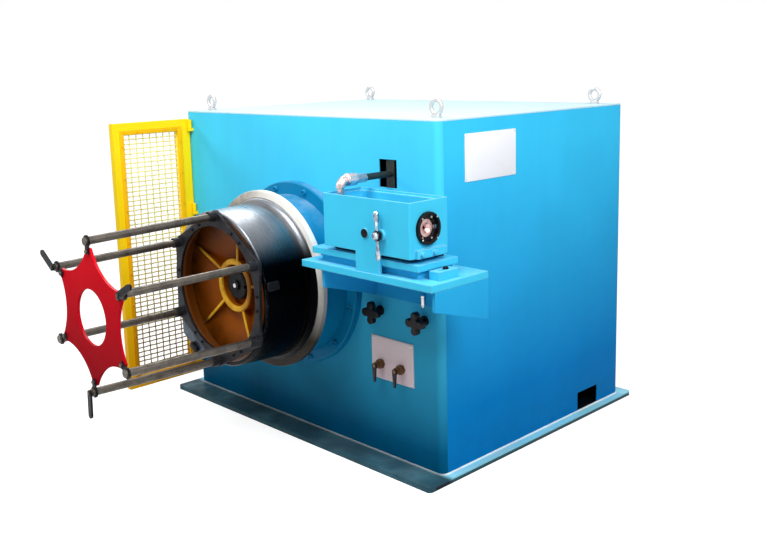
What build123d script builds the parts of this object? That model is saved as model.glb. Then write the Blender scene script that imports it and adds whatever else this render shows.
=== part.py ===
from build123d import *
import os
from math import cos, radians, sin

os.makedirs("parts", exist_ok=True)

# Frame: X along the drum face, the drum side faces -Y, Z up from the floor.
# The origin lies on the underside of the base plate, below the middle of the housing.

# Housing and base
housing_width = 1665
housing_depth = 1254
overall_height = 1400
sheet = 6
corner_radius = 28
base_thickness = 20
base_front_margin = 116
base_side_margin = 36
base_back_margin = 58
base_corner = 18
cut_overrun = 5
fit_gap = 0.2

pipe_port_width = 96
pipe_port_height = 110
floor_slot_length = 158
floor_slot_height = 88
floor_slot_centre_y = 366

eye_inset = 92
eye_outer_radius = 34
eye_hole_radius = 19
eye_thickness = 14
eye_chamfer = 3
eye_collar_radius = 21
eye_collar_height = 12
eye_sink = 4

# Drum and its bearing, measured from the wall along the drum axis
drum_axis_height = 717
wall_flange_radius = 400
wall_flange_thickness = 35
wall_flange_bevel = 5
cartridge_radius = 112
cartridge_inside_reach = 150
shaft_radius = 60
cover_radius = 345
cover_wall = 10
cover_reach = 156
block_flange_gap = 10
block_flange_thickness = 25
block_flange_radius = 378
block_flange_bevel = 3
block_wall = 20
block_radius = 320
block_root_radius = 328
block_root_rise = 20
block_root_length = 42
block_end_bevel = 4
block_end_thickness = 12
block_length = 248
ring_thickness = 14
ring_hole_radius = 262
ring_corner_radius = 24
web_setback = 138
web_thickness = 18
rib_count = 5
rib_phase = 6
rib_depth = 45
rib_end_depth = 24
rib_thickness = 12
collar_radius = 98
collar_bore_radius = 76
collar_bevel = 4
hub_nut_radius = 62
hub_nut_thickness = 34
hub_nut_bevel = 5
hub_slot_count = 4
hub_slot_width = 16
hub_slot_depth = 9
shaft_end_radius = 22
shaft_end_length = 8
wire_clamp_length = 52
wire_clamp_width = 34
wire_clamp_height = 9
wire_clamp_angle = 10
wire_clamp_setback = 46
gripper_angle = 237
gripper_width = 128
gripper_tip_width = 78
gripper_reach_radius = 366
gripper_seat_radius = 291
gripper_thickness = 10
gripper_jaw_length = 46
gripper_jaw_width = 26
gripper_jaw_height = 16

# Coil cage on the front of the drum
rod_count = 6
rod_phase = 27
rod_radius = 15
rod_ring_radius = 305
rod_star_radius = 288
rod_length = 560
socket_radius = 21
socket_length = 30
star_setback = 24
star_thickness = 10
star_tip_radius = 262
star_waist_radius = 196
star_hole_radius = 107
star_tip_width = 26
clip_radius = 22
clip_width = 20
clip_tongue_width = 22
clip_tongue_thickness = 6
latch_pin_radius = 6
latch_pin_length = 16
latch_gap = 5
latch_thickness = 8
latch_width = 24
latch_length = 88

# Guard door at the left edge of the drum face
guard_width = 413
guard_bottom = 90
guard_top_gap = 38
guard_bar_width = 55
guard_stile_width = 70
guard_bar_depth = 30
guard_inset = 17.5
guard_wall_gap = 5
hinge_axis_reach = 14
hinge_axis_offset = 16
hinge_pin_radius = 5
bore_clearance = 0.05
knuckle_radius = 10
knuckle_height = 40
end_gap = 0.3
hinge_lug_height = 14
hinge_low_inset = 110
hinge_high_inset = 24
hinge_middle_share = 0.64
wire_size = 4
wire_pitch = 25

# Die box on its bracket shelf, stacked down from the wire's line
wire_seat = 14
shelf_clearance = 7
shelf_overhang = 230
shelf_reach = 298
shelf_thickness = 26
bracket_height = 150
bracket_clearance = 15
bracket_thickness = 12
gusset_reach = 282
gusset_toe = 70
slide_left_inset = 45
slide_right_inset = 77
slide_depth = 205
slide_height = 24
saddle_height = 31
saddle_setback = 26
spacer_height = 18
spacer_width = 40
spacer_setback = 22
slot_width = 12
slot_length = 64
slot_end_inset = 52
clamp_lug_length = 46
clamp_lug_depth = 100
clamp_lug_gap = 6
clamp_lug_reach = 232
box_left_inset = 85
box_right_inset = 25
box_reach = 293
box_depth = 195
box_drop = 100
box_height = 197
box_wall = 12
box_corner = 5
box_lip = 6
box_lip_height = 10
apron_setback = 14
apron_width = 122
die_port_radius = 57
wire_exit_radius = 32
holder_radius = 51
holder_length = 150
holder_bore_radius = 12
holder_recess_radius = 34
holder_recess_depth = 20
holder_mouth_radius = 22
holder_mouth_depth = 38
holder_key_count = 3
holder_key_width = 15
cradle_length = 80
cradle_width = 112
cradle_cover_share = 0.45
plug_radius = 17
plug_length = 4
plug_inset = 53
plug_drop = 30
ledge_length = 15
ledge_height = 30
ledge_inset = 25
nipple_radius = 9
nipple_length = 12
nipple_reaches = [248, 187]
clamp_inset = 138
clamp_drop = 28
clamp_spindle_radius = 8
clamp_boss_radius = 21
clamp_boss_length = 7
clamp_hub_radius = 15
clamp_hub_length = 24
handle_bar_radius = 6
handle_reach = 66
handle_ball_radius = 10
handle_lean = -3

# Lubricant pipe
pipe_radius = 13
pipe_inset = 59
pipe_above_box = 44
pipe_port_offset = 8
pipe_inside_reach = 70
pipe_reach = 255
coupling_radius = 19
coupling_length = 48
union_radius = 24
union_length = 50
union_bevel = 4
elbow_bend_radius = 26
elbow_radius = 18
spout_depth = 34
strap_thickness = 5
strap_width = 44

# Valves on the drum face
knob_right_inset = 83.5
knob_drop = 66
knob_lobe_radius = 17
knob_lobe_offset = 29
knob_hub_radius = 24
knob_thickness = 22
knob_edge = 4
knob_stem_radius = 9
knob_stem_length = 34
knob_base_radius = 20
knob_base_length = 10
valve_plate_clearance = 51
valve_plate_right_inset = 145.5
valve_plate_drop = 109
valve_plate_height = 179
valve_plate_thickness = 3
valve_left_inset = 56
valve_right_inset = 66
valve_rise = 66
valve_body_radius = 20
valve_body_length = 20
valve_bonnet_radius = 14
valve_bonnet_length = 14
valve_stem_radius = 7
lever_width = 16
lever_tip_width = 12
lever_length = 84
lever_thickness = 6
lever_gap = 5

wall_reach = housing_depth / 2
side_reach = housing_width / 2
wall_height = overall_height - base_thickness - sheet
guard_height = overall_height - guard_top_gap - guard_bottom
guard_plane_x = guard_inset - side_reach
hinge_low = guard_bottom + hinge_low_inset
hinge_high = guard_bottom + guard_height - hinge_high_inset
hinge_heights = [hinge_low, hinge_low + hinge_middle_share * (hinge_high - hinge_low), hinge_high]

block_flange_reach = cover_reach + block_flange_gap
block_front = wall_reach + block_flange_reach + block_flange_thickness
block_end = block_front + block_length - ring_thickness
ring_front = block_end + ring_thickness
web_back = ring_front - ring_thickness - web_setback

die_height = drum_axis_height + block_root_radius
die_reach = block_front + wire_seat
box_bottom = die_height - box_drop
box_top = box_bottom + box_height
slide_top = box_bottom - spacer_height
shelf_top = slide_top - slide_height - saddle_height
shelf_under = shelf_top - shelf_thickness
bracket_low = shelf_under - bracket_height
shelf_left = block_flange_radius + shelf_clearance
shelf_right = side_reach + shelf_overhang
bracket_left = wall_flange_radius + bracket_clearance
slide_left = shelf_left + slide_left_inset
slide_right = shelf_right - slide_right_inset
box_left = slide_left + box_left_inset
box_right = slide_right - box_right_inset
clamp_x = box_right - clamp_inset
clamp_height = die_height - clamp_drop
apron_right = clamp_x - apron_setback
apron_left = apron_right - apron_width
plug_x = apron_left + plug_inset
plug_height = die_height - plug_drop
pipe_x = box_left + pipe_inset
pipe_height = box_top + pipe_above_box

valve_plate_left = wall_flange_radius + valve_plate_clearance
valve_plate_right = side_reach - valve_plate_right_inset
valve_xs = [valve_plate_left + valve_left_inset, valve_plate_right - valve_right_inset]
knob_xs = [valve_xs[0], side_reach - knob_right_inset]
knob_height = bracket_low - knob_drop
valve_plate_top = knob_height - valve_plate_drop
valve_plate_bottom = valve_plate_top - valve_plate_height
valve_height = valve_plate_bottom + valve_rise

drum_axis = Axis((0, 0, drum_axis_height), (0, -1, 0))
turning_plane = Plane(origin=(0, 0, drum_axis_height), x_dir=(0, -1, 0), z_dir=(-1, 0, 0))


def save(piece, name):
    piece.part.label = name
    export_step(piece.part, f"parts/{name}.step")


def turned(points):
    """A solid of revolution about the drum axis, from points of reach and radius."""
    with BuildPart() as piece:
        with BuildSketch(turning_plane):
            with BuildLine():
                Polyline(*points, close=True)
            make_face()
        revolve(axis=drum_axis)
    return piece


def face_plane(reach, x=0, height=drum_axis_height):
    """A plane that looks out of the drum face, reach in front of the housing's middle."""
    return Plane(origin=(x, -reach, height), x_dir=(1, 0, 0), z_dir=(0, -1, 0))


def base_plate():
    length = housing_depth + base_front_margin + base_back_margin
    centre_y = (base_back_margin - base_front_margin) / 2
    with BuildPart() as plate:
        with BuildSketch():
            with Locations((0, centre_y)):
                RectangleRounded(housing_width + 2 * base_side_margin, length, base_corner)
        extrude(amount=base_thickness)
    save(plate, "base_plate")


def wall_strip(centre_y, strip_length):
    """The stretch of the bent sheet wall that lies within strip_length along Y."""
    with BuildPart() as wall:
        with BuildSketch(Plane.XY.offset(base_thickness)):
            RectangleRounded(housing_width, housing_depth, corner_radius)
            inner_width, inner_depth = housing_width - 2 * sheet, housing_depth - 2 * sheet
            RectangleRounded(inner_width, inner_depth, corner_radius - sheet, mode=Mode.SUBTRACT)
            with Locations((0, centre_y)):
                Rectangle(housing_width, strip_length, mode=Mode.INTERSECT)
        extrude(amount=wall_height)
    return wall


def front_panel():
    strip = wall_strip(-wall_reach + corner_radius / 2, corner_radius)
    with BuildPart() as wall:
        add(strip.part)
        with BuildSketch(face_plane(wall_reach - sheet - cut_overrun)):
            Circle(cartridge_radius + fit_gap)
            with Locations((pipe_x - pipe_port_offset, pipe_height - drum_axis_height)):
                Rectangle(pipe_port_width, pipe_port_height)
        extrude(amount=sheet + 2 * cut_overrun, mode=Mode.SUBTRACT)
    save(wall, "front_panel")


def back_panel():
    save(wall_strip(wall_reach - corner_radius / 2, corner_radius), "back_panel")


def side_panels():
    straight = housing_depth - 2 * corner_radius
    for name, side in (("left_panel", -1), ("right_panel", 1)):
        with BuildPart() as panel:
            with BuildSketch(Plane.XY.offset(base_thickness)):
                with Locations((side * (side_reach - sheet / 2), 0)):
                    Rectangle(sheet, straight)
            extrude(amount=wall_height)
            if side > 0:
                with BuildSketch(Plane.YZ.offset(side_reach - sheet - cut_overrun)):
                    with Locations((floor_slot_centre_y, base_thickness)):
                        Rectangle(floor_slot_length, 2 * floor_slot_height)
                extrude(amount=sheet + 2 * cut_overrun, mode=Mode.SUBTRACT)
        save(panel, name)


def top_panel():
    with BuildPart() as top:
        with BuildSketch(Plane.XY.offset(overall_height - sheet)):
            RectangleRounded(housing_width, housing_depth, corner_radius)
        extrude(amount=sheet)
    save(top, "top_panel")


def lifting_eyes():
    eye_centre = overall_height + eye_collar_height + eye_outer_radius - eye_sink
    with BuildPart() as eyes:
        spots = GridLocations(housing_width - 2 * eye_inset, housing_depth - 2 * eye_inset, 2, 2)
        for spot in spots.locations:
            x, y = spot.position.X, spot.position.Y
            with BuildSketch(Plane(origin=(x, y - eye_thickness / 2, eye_centre), x_dir=(1, 0, 0),
                                   z_dir=(0, 1, 0))):
                Circle(eye_outer_radius)
                Circle(eye_hole_radius, mode=Mode.SUBTRACT)
            extrude(amount=eye_thickness)
        chamfer(eyes.edges().filter_by(GeomType.CIRCLE), eye_chamfer)
        with BuildSketch(Plane.XY.offset(overall_height)):
            with GridLocations(housing_width - 2 * eye_inset, housing_depth - 2 * eye_inset, 2, 2):
                Circle(eye_collar_radius)
        extrude(amount=eye_collar_height)
    save(eyes, "lifting_eyes")


def bearing():
    wall, flange_face = wall_reach, wall_reach + wall_flange_thickness
    bore = cartridge_radius + fit_gap
    save(turned([(wall, bore), (wall, wall_flange_radius),
                 (flange_face - wall_flange_bevel, wall_flange_radius),
                 (flange_face, wall_flange_radius - wall_flange_bevel), (flange_face, bore)]),
         "wall_flange")
    cover_front = wall + cover_reach
    lid_back = cover_front - cover_wall
    cover_inner = cover_radius - cover_wall
    save(turned([(flange_face, cover_inner), (flange_face, cover_radius),
                 (lid_back, cover_radius), (cover_front, cover_inner),
                 (cover_front, bore), (lid_back, bore), (lid_back, cover_inner)]),
         "drum_backing_cover")
    cartridge_back = wall - cartridge_inside_reach
    save(turned([(cartridge_back, shaft_radius + bore_clearance),
                 (cartridge_back, cartridge_radius), (cover_front, cartridge_radius),
                 (cover_front, shaft_radius + bore_clearance)]), "bearing_cartridge")


def drum_shaft():
    start = wall_reach - cartridge_inside_reach
    tip = web_back + web_thickness + hub_nut_thickness + shaft_end_length
    save(turned([(start, 0), (start, shaft_radius), (web_back, shaft_radius),
                 (web_back, shaft_end_radius), (tip, shaft_end_radius), (tip, 0)]), "drum_shaft")


def block_flange():
    back = wall_reach + block_flange_reach
    inner, edge = block_radius - block_wall, block_flange_radius - block_flange_bevel
    save(turned([(back, inner), (back, edge), (back + block_flange_bevel, block_flange_radius),
                 (block_front - block_flange_bevel, block_flange_radius), (block_front, edge),
                 (block_front, inner)]), "block_flange")


def drum_block():
    """The working face: a hollow root beside the flange, a slow taper, and an inward end wall."""
    inner = block_radius - block_wall
    root_end = block_front + block_root_length
    root_top = block_root_radius + block_root_rise
    hollow = (block_front + block_root_length / 4, block_root_radius + block_root_rise / 4)
    with BuildPart() as block_part:
        with BuildSketch(turning_plane):
            with BuildLine():
                Line((block_front, inner), (block_front, root_top))
                ThreePointArc((block_front, root_top), hollow, (root_end, block_root_radius))
                Polyline((root_end, block_root_radius), (block_end - block_end_bevel, block_radius),
                         (block_end, block_radius - block_end_bevel),
                         (block_end, ring_hole_radius), (block_end - block_end_thickness, ring_hole_radius),
                         (block_end - block_end_thickness, inner), (block_front, inner))
            make_face()
        revolve(axis=drum_axis)
    save(block_part, "drum_block")


def drum_web():
    """The dished-in web that carries the block, with tapering ribs from its collar."""
    front = web_back + web_thickness
    outer = block_radius - block_wall - fit_gap
    rib_root = collar_radius - rib_thickness
    with BuildPart() as web:
        with BuildSketch(face_plane(web_back)):
            Circle(outer)
            Circle(shaft_end_radius + fit_gap, mode=Mode.SUBTRACT)
        extrude(amount=web_thickness)
        with BuildSketch(face_plane(front)):
            Circle(collar_radius)
            Circle(collar_bore_radius, mode=Mode.SUBTRACT)
        extrude(amount=rib_depth)
        rim = web.faces().sort_by(Axis.Y)[0]
        chamfer(rim.edges(), collar_bevel)
        for index in range(rib_count):
            turn = radians(rib_phase + index * 360 / rib_count)
            side = Plane(origin=(0, 0, drum_axis_height), x_dir=(cos(turn), 0, sin(turn)),
                         z_dir=(sin(turn), 0, -cos(turn)))
            with BuildSketch(side):
                with BuildLine():
                    Polyline((rib_root, front - fit_gap), (rib_root, front + rib_depth - collar_bevel),
                             (outer, front + rib_end_depth), (outer, front - fit_gap), close=True)
                make_face()
            extrude(amount=rib_thickness / 2, both=True)
    save(web, "drum_web")


def hub_nut():
    front = web_back + web_thickness
    with BuildPart() as nut:
        with BuildSketch(face_plane(front)):
            Circle(hub_nut_radius)
            Circle(shaft_end_radius + fit_gap, mode=Mode.SUBTRACT)
        extrude(amount=hub_nut_thickness)
        face = nut.faces().sort_by(Axis.Y)[0]
        chamfer(face.edges().sort_by(SortBy.LENGTH)[-1], hub_nut_bevel)
        with BuildSketch(face_plane(front)):
            with PolarLocations(hub_nut_radius, hub_slot_count):
                Rectangle(2 * hub_slot_depth, hub_slot_width)
        extrude(amount=hub_nut_thickness, mode=Mode.SUBTRACT)
    save(nut, "hub_nut")


def wire_clamp():
    centre = ring_front - wire_clamp_setback
    turn = radians(wire_clamp_angle)
    outward = (cos(turn), 0, sin(turn))
    taper = (block_root_radius - block_radius) / (block_length - ring_thickness - block_root_length)
    seat_radius = block_radius + taper * (wire_clamp_setback + wire_clamp_length / 2)
    seat = seat_radius * cos(wire_clamp_width / 2 / seat_radius)
    origin = (seat * cos(turn), -centre, drum_axis_height + seat * sin(turn))
    with BuildPart() as clamp:
        with BuildSketch(Plane(origin=origin, x_dir=(0, -1, 0), z_dir=outward)):
            RectangleRounded(wire_clamp_length, wire_clamp_width, wire_clamp_height / 2)
        extrude(amount=wire_clamp_height)
        with BuildSketch(face_plane(block_front)):
            Circle(seat_radius)
        extrude(amount=2 * block_length, mode=Mode.SUBTRACT)
    save(clamp, "wire_clamp")


def wire_gripper():
    """A plate and jaw on the block's end, which take hold of a new wire's tip."""
    turn = radians(gripper_angle)
    plane = Plane(origin=(0, -block_end, drum_axis_height), z_dir=(0, -1, 0),
                  x_dir=(cos(turn), 0, sin(turn)))
    half, tip = gripper_width / 2, gripper_tip_width / 2
    jaw_middle = gripper_reach_radius - gripper_jaw_width / 2
    with BuildPart() as gripper:
        with BuildSketch(plane):
            with BuildLine():
                Polyline((gripper_seat_radius, -half), (gripper_seat_radius, half),
                         (gripper_reach_radius, tip), (gripper_reach_radius, -tip), close=True)
            make_face()
        extrude(amount=gripper_thickness)
        with BuildSketch(plane.offset(gripper_thickness)):
            with Locations((jaw_middle, 0)):
                RectangleRounded(gripper_jaw_width, gripper_jaw_length, gripper_jaw_width / 4)
        extrude(amount=gripper_jaw_height)
    save(gripper, "wire_gripper")


def rod_angle(index):
    return rod_phase + index * 360 / rod_count


def rod_spot(radius, index):
    turn = radians(rod_angle(index))
    return (radius * cos(turn), radius * sin(turn))


def cage_ring():
    """A six-sided ring on the block's end with a socket for a rod at each corner."""
    corners = [rod_spot(rod_ring_radius, index) for index in range(rod_count)]
    with BuildPart() as ring:
        with BuildSketch(face_plane(block_end)):
            with Locations(corners):
                Circle(ring_corner_radius)
            make_hull()
            Circle(ring_hole_radius, mode=Mode.SUBTRACT)
        extrude(amount=ring_thickness)
        with BuildSketch(face_plane(ring_front)):
            with Locations(corners):
                Circle(socket_radius)
        extrude(amount=socket_length)
        with BuildSketch(face_plane(ring_front)):
            with Locations(corners):
                Circle(rod_radius + fit_gap + rod_lean_at(socket_length))
        extrude(amount=socket_length, mode=Mode.SUBTRACT)
    save(ring, "cage_ring")


def rod_lean_at(length):
    """How far a rod's middle has come inwards at a length from its foot."""
    return (rod_ring_radius - rod_star_radius) * length / rod_length


def cage_rods():
    foot = ring_front
    with BuildPart() as rods:
        for index in range(rod_count):
            with BuildSketch(face_plane(foot)):
                with Locations(rod_spot(rod_ring_radius, index)):
                    Circle(rod_radius)
            with BuildSketch(face_plane(foot + rod_length)):
                with Locations(rod_spot(rod_star_radius, index)):
                    Circle(rod_radius)
            loft(ruled=True)
        with BuildSketch(face_plane(foot + rod_length)):
            for index in range(0, rod_count, 2):
                with Locations(rod_spot(rod_star_radius, index)):
                    Circle(latch_pin_radius)
        extrude(amount=latch_pin_length)
    save(rods, "cage_rods")


def star_plane_reach():
    return ring_front + rod_length - star_setback


def star_plate():
    points = []
    for index in range(rod_count):
        turn, half = radians(rod_angle(index)), star_tip_width / 2
        waist_turn = radians(rod_angle(index) + 180 / rod_count)
        for side in (-1, 1):
            points.append((star_tip_radius * cos(turn) - side * half * sin(turn),
                           star_tip_radius * sin(turn) + side * half * cos(turn)))
        points.append((star_waist_radius * cos(waist_turn), star_waist_radius * sin(waist_turn)))
    with BuildPart() as star:
        with BuildSketch(face_plane(star_plane_reach())):
            with BuildLine():
                for index in range(rod_count):
                    first, second, waist = points[3 * index:3 * index + 3]
                    Line(first, second)
                    ThreePointArc(second, waist, points[(3 * index + 3) % len(points)])
            make_face()
            Circle(star_hole_radius, mode=Mode.SUBTRACT)
        extrude(amount=star_thickness)
    save(star, "star_plate")


def star_clips():
    back = star_plane_reach() + star_thickness
    radius_here = rod_ring_radius - rod_lean_at(back - ring_front)
    with BuildPart() as clips:
        for index in range(rod_count):
            turn = rod_angle(index)
            tongue_end = star_tip_radius - clip_tongue_width
            with BuildSketch(face_plane(back)):
                with Locations(rod_spot(radius_here, index)):
                    Circle(clip_radius)
                with Locations(Location((*rod_spot((radius_here + tongue_end) / 2, index), 0),
                                        (0, 0, turn))):
                    Rectangle(radius_here - tongue_end, clip_tongue_width)
                with Locations(rod_spot(radius_here, index)):
                    Circle(rod_radius + fit_gap + rod_lean_at(clip_tongue_thickness),
                           mode=Mode.SUBTRACT)
            extrude(amount=clip_tongue_thickness)
    save(clips, "star_clips")


def coil_latches():
    foot = ring_front + rod_length + latch_gap
    for number, index in enumerate(range(0, rod_count, 2), start=1):
        x, height = rod_spot(rod_star_radius, index)
        plane = Plane(origin=(x, -foot, drum_axis_height + height), z_dir=(0, -1, 0),
                      x_dir=(cos(radians(rod_angle(index))), 0, sin(radians(rod_angle(index)))))
        with BuildPart() as latch:
            with BuildSketch(plane):
                with Locations((latch_length / 2, 0)):
                    SlotCenterToCenter(latch_length, latch_width)
                Circle(latch_pin_radius + bore_clearance, mode=Mode.SUBTRACT)
            extrude(amount=latch_thickness)
        save(latch, f"coil_latch_{number}")


def guard_frame():
    centre_reach = wall_reach + guard_wall_gap + guard_width / 2
    plane = Plane(origin=(guard_plane_x - guard_bar_depth / 2, -centre_reach,
                          guard_bottom + guard_height / 2), x_dir=(0, 1, 0), z_dir=(1, 0, 0))
    opening_width = guard_width - guard_bar_width - guard_stile_width
    opening_height = guard_height - 2 * guard_bar_width
    opening_shift = (guard_bar_width - guard_stile_width) / 2
    hinge_x, hinge_reach = hinge_axis()
    neck = hinge_axis_offset
    with BuildPart() as frame:
        with BuildSketch(plane):
            Rectangle(guard_width, guard_height)
            with Locations((opening_shift, 0)):
                Rectangle(opening_width, opening_height, mode=Mode.SUBTRACT)
        extrude(amount=guard_bar_depth)
        for height in hinge_heights:
            with BuildSketch(Plane.XY.offset(height - knuckle_height / 2)):
                with Locations((hinge_x, -hinge_reach)):
                    Circle(knuckle_radius)
                with Locations((hinge_x - neck / 2, -hinge_reach)):
                    Rectangle(neck, knuckle_radius)
                with Locations((hinge_x, -hinge_reach)):
                    Circle(hinge_pin_radius + bore_clearance, mode=Mode.SUBTRACT)
            extrude(amount=knuckle_height)
    save(frame, "guard_frame")

    columns = int(opening_width / wire_pitch)
    rows = int(opening_height / wire_pitch)
    with BuildPart() as uprights:
        with BuildSketch(plane.offset(guard_bar_depth / 2)):
            with Locations((opening_shift, 0)):
                with GridLocations(wire_pitch, 0, columns, 1):
                    Rectangle(wire_size, opening_height)
        extrude(amount=wire_size)
    save(uprights, "guard_mesh_uprights")
    with BuildPart() as crosswires:
        with BuildSketch(plane.offset(guard_bar_depth / 2 - wire_size)):
            with Locations((opening_shift, 0)):
                with GridLocations(0, wire_pitch, 1, rows):
                    Rectangle(opening_width, wire_size)
        extrude(amount=wire_size)
    save(crosswires, "guard_mesh_crosswires")


def hinge_axis():
    """Where the guard's upright hinge axis stands: its x and its reach."""
    return guard_plane_x + guard_bar_depth / 2 + hinge_axis_offset, wall_reach + hinge_axis_reach


def guard_hinges():
    hinge_x, hinge_reach = hinge_axis()
    with BuildPart() as brackets:
        for height in hinge_heights:
            bottom = height - knuckle_height / 2 - end_gap - hinge_lug_height
            with BuildSketch(Plane.XY.offset(bottom)):
                with Locations((hinge_x, -hinge_reach)):
                    Circle(knuckle_radius)
                with Locations((hinge_x, -wall_reach - hinge_axis_reach / 2)):
                    Rectangle(2 * knuckle_radius, hinge_axis_reach)
            extrude(amount=hinge_lug_height)
            with BuildSketch(Plane.XY.offset(bottom + hinge_lug_height)):
                with Locations((hinge_x, -hinge_reach)):
                    Circle(hinge_pin_radius)
            extrude(amount=knuckle_height)
    save(brackets, "guard_hinge_brackets")


def block(name, x_low, x_high, reach_low, reach_high, z_low, z_high):
    """A plain plate or bar between two corners, saved under its name."""
    with BuildPart() as piece:
        with BuildSketch(Plane.XY.offset(z_low)):
            with Locations(((x_low + x_high) / 2, -(reach_low + reach_high) / 2)):
                Rectangle(x_high - x_low, reach_high - reach_low)
        extrude(amount=z_high - z_low)
    if name:
        save(piece, name)
    return piece


def shelf():
    block("shelf_plate", shelf_left, shelf_right, wall_reach, wall_reach + shelf_reach,
          shelf_under, shelf_top)
    back = wall_reach + bracket_thickness
    tip = wall_reach + gusset_reach
    back_plate = block(None, bracket_left, shelf_right, wall_reach, back, bracket_low, shelf_under)
    with BuildPart() as bracket:
        add(back_plate.part)
        for x in (shelf_right - bracket_thickness, bracket_left + gusset_toe):
            with BuildSketch(Plane.YZ.offset(x)):
                with BuildLine():
                    Polyline((-back, shelf_under), (-tip, shelf_under),
                             (-tip, shelf_under - gusset_toe), (-back, bracket_low), close=True)
                make_face()
            extrude(amount=bracket_thickness)
    save(bracket, "shelf_bracket")


def slide_base():
    """A saddle on the shelf, the slide plate with its end slot, and spacers under the box."""
    front = wall_reach + box_reach - box_wall - fit_gap
    back = front - slide_depth
    saddle = block(None, slide_left + saddle_setback, slide_right - saddle_setback,
                   back, front - saddle_setback, shelf_top, shelf_top + saddle_height)
    with BuildPart() as slide:
        add(saddle.part)
        with BuildSketch(Plane.XY.offset(slide_top - slide_height)):
            with Locations(((slide_left + slide_right) / 2, -(front + back) / 2)):
                Rectangle(slide_right - slide_left, slide_depth)
        extrude(amount=slide_height)
        with BuildSketch(Plane.XY.offset(slide_top)):
            for reach in (back + spacer_setback, front - spacer_setback - spacer_width):
                with Locations(((box_left + box_right) / 2, -reach - spacer_width / 2)):
                    Rectangle(box_right - box_left - 2 * spacer_setback, spacer_width)
        extrude(amount=spacer_height)
        with BuildSketch(Plane.XY.offset(slide_top - slide_height)):
            with Locations((slide_left + slot_end_inset, -(front + back) / 2)):
                SlotOverall(slot_length, slot_width, rotation=90)
        extrude(amount=slide_height, mode=Mode.SUBTRACT)
    save(slide, "slide_base")


def slide_clamp():
    """The slotted lug that holds the slide plate's end down on the shelf."""
    left = slide_right + clamp_lug_gap
    back = wall_reach + clamp_lug_reach - clamp_lug_depth
    lug = block(None, left, left + clamp_lug_length, back, back + clamp_lug_depth,
                shelf_top, slide_top - slide_height)
    with BuildPart() as clamp:
        add(lug.part)
        with BuildSketch(Plane.XY.offset(shelf_top)):
            with Locations((left + clamp_lug_length / 2, -back - clamp_lug_depth / 2)):
                SlotOverall(slot_length, slot_width, rotation=90)
        extrude(amount=slide_top - shelf_top, mode=Mode.SUBTRACT)
    save(clamp, "slide_clamp")


def die_box():
    front = wall_reach + box_reach
    back = front - box_depth
    middle = ((box_left + box_right) / 2, -(front + back) / 2)
    length = box_right - box_left
    floor_height = box_bottom + box_wall
    die_spot = (-die_reach, die_height)
    with BuildPart() as box:
        with BuildSketch(Plane.XY.offset(box_bottom)):
            with Locations(middle):
                RectangleRounded(length, box_depth, box_corner)
        extrude(amount=box_height)
        with BuildSketch(Plane.XY.offset(floor_height)):
            with Locations(middle):
                Rectangle(length - 2 * box_wall, box_depth - 2 * box_wall)
        extrude(amount=box_height, mode=Mode.SUBTRACT)
        with BuildSketch(Plane.XY.offset(box_top - box_lip_height)):
            with Locations(middle):
                Rectangle(length - 2 * box_lip, box_depth - 2 * box_lip)
        extrude(amount=box_height, mode=Mode.SUBTRACT)
        with BuildSketch(Plane.XY.offset(shelf_top)):
            with Locations(((apron_left + apron_right) / 2, -front + box_wall / 2)):
                Rectangle(apron_width, box_wall)
        extrude(amount=floor_height - shelf_top)
        with BuildSketch(Plane.YZ.offset(box_right)):
            with Locations((-(front + back) / 2, box_bottom + ledge_height / 2)):
                Rectangle(box_depth - 2 * ledge_inset, ledge_height)
        extrude(amount=ledge_length)
        with BuildSketch(Plane.YZ.offset(box_right + ledge_length)):
            for reach in nipple_reaches:
                with Locations((-wall_reach - reach, box_bottom + ledge_height / 2)):
                    Circle(nipple_radius)
        extrude(amount=nipple_length)
        with BuildSketch(Plane.YZ.offset(box_right - box_wall - cut_overrun)):
            with Locations(die_spot):
                Circle(die_port_radius)
        extrude(amount=box_wall + 2 * cut_overrun, mode=Mode.SUBTRACT)
        with BuildSketch(Plane.YZ.offset(box_left - cut_overrun)):
            with Locations(die_spot):
                Circle(wire_exit_radius)
        extrude(amount=box_wall + 2 * cut_overrun, mode=Mode.SUBTRACT)
        with BuildSketch(face_plane(front, clamp_x, clamp_height)):
            Circle(clamp_boss_radius)
        extrude(amount=clamp_boss_length)
        with BuildSketch(face_plane(front, plug_x, plug_height)):
            Circle(plug_radius)
        extrude(amount=plug_length)
        with BuildSketch(face_plane(front - box_wall - cut_overrun, clamp_x, clamp_height)):
            Circle(clamp_spindle_radius + bore_clearance)
        extrude(amount=box_wall + clamp_boss_length + 2 * cut_overrun, mode=Mode.SUBTRACT)
    save(box, "die_box")

    holder_end = box_right - fit_gap
    with BuildPart() as holder:
        with BuildSketch(Plane.YZ.offset(holder_end - holder_length)):
            with Locations(die_spot):
                Circle(holder_radius)
                Circle(holder_bore_radius, mode=Mode.SUBTRACT)
        extrude(amount=holder_length)
        with BuildSketch(Plane.YZ.offset(holder_end - holder_mouth_depth)):
            with Locations(die_spot):
                Circle(holder_mouth_radius)
        extrude(amount=holder_mouth_depth + cut_overrun, mode=Mode.SUBTRACT)
        with BuildSketch(Plane.YZ.offset(holder_end - holder_recess_depth)):
            with Locations(die_spot):
                Circle(holder_recess_radius)
                key_length = holder_radius + cut_overrun
                with PolarLocations(key_length / 2, holder_key_count):
                    Rectangle(key_length, holder_key_width)
        extrude(amount=holder_recess_depth + cut_overrun, mode=Mode.SUBTRACT)
    save(holder, "die_holder")

    cradle_top = die_height - holder_radius * cradle_cover_share
    with BuildPart() as cradle:
        with BuildSketch(Plane.YZ.offset(holder_end - holder_length)):
            with Locations((-die_reach, (floor_height + cradle_top) / 2)):
                Rectangle(cradle_width, cradle_top - floor_height)
            with Locations(die_spot):
                Circle(holder_radius + fit_gap, mode=Mode.SUBTRACT)
        extrude(amount=cradle_length)
    save(cradle, "die_cradle")


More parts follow.
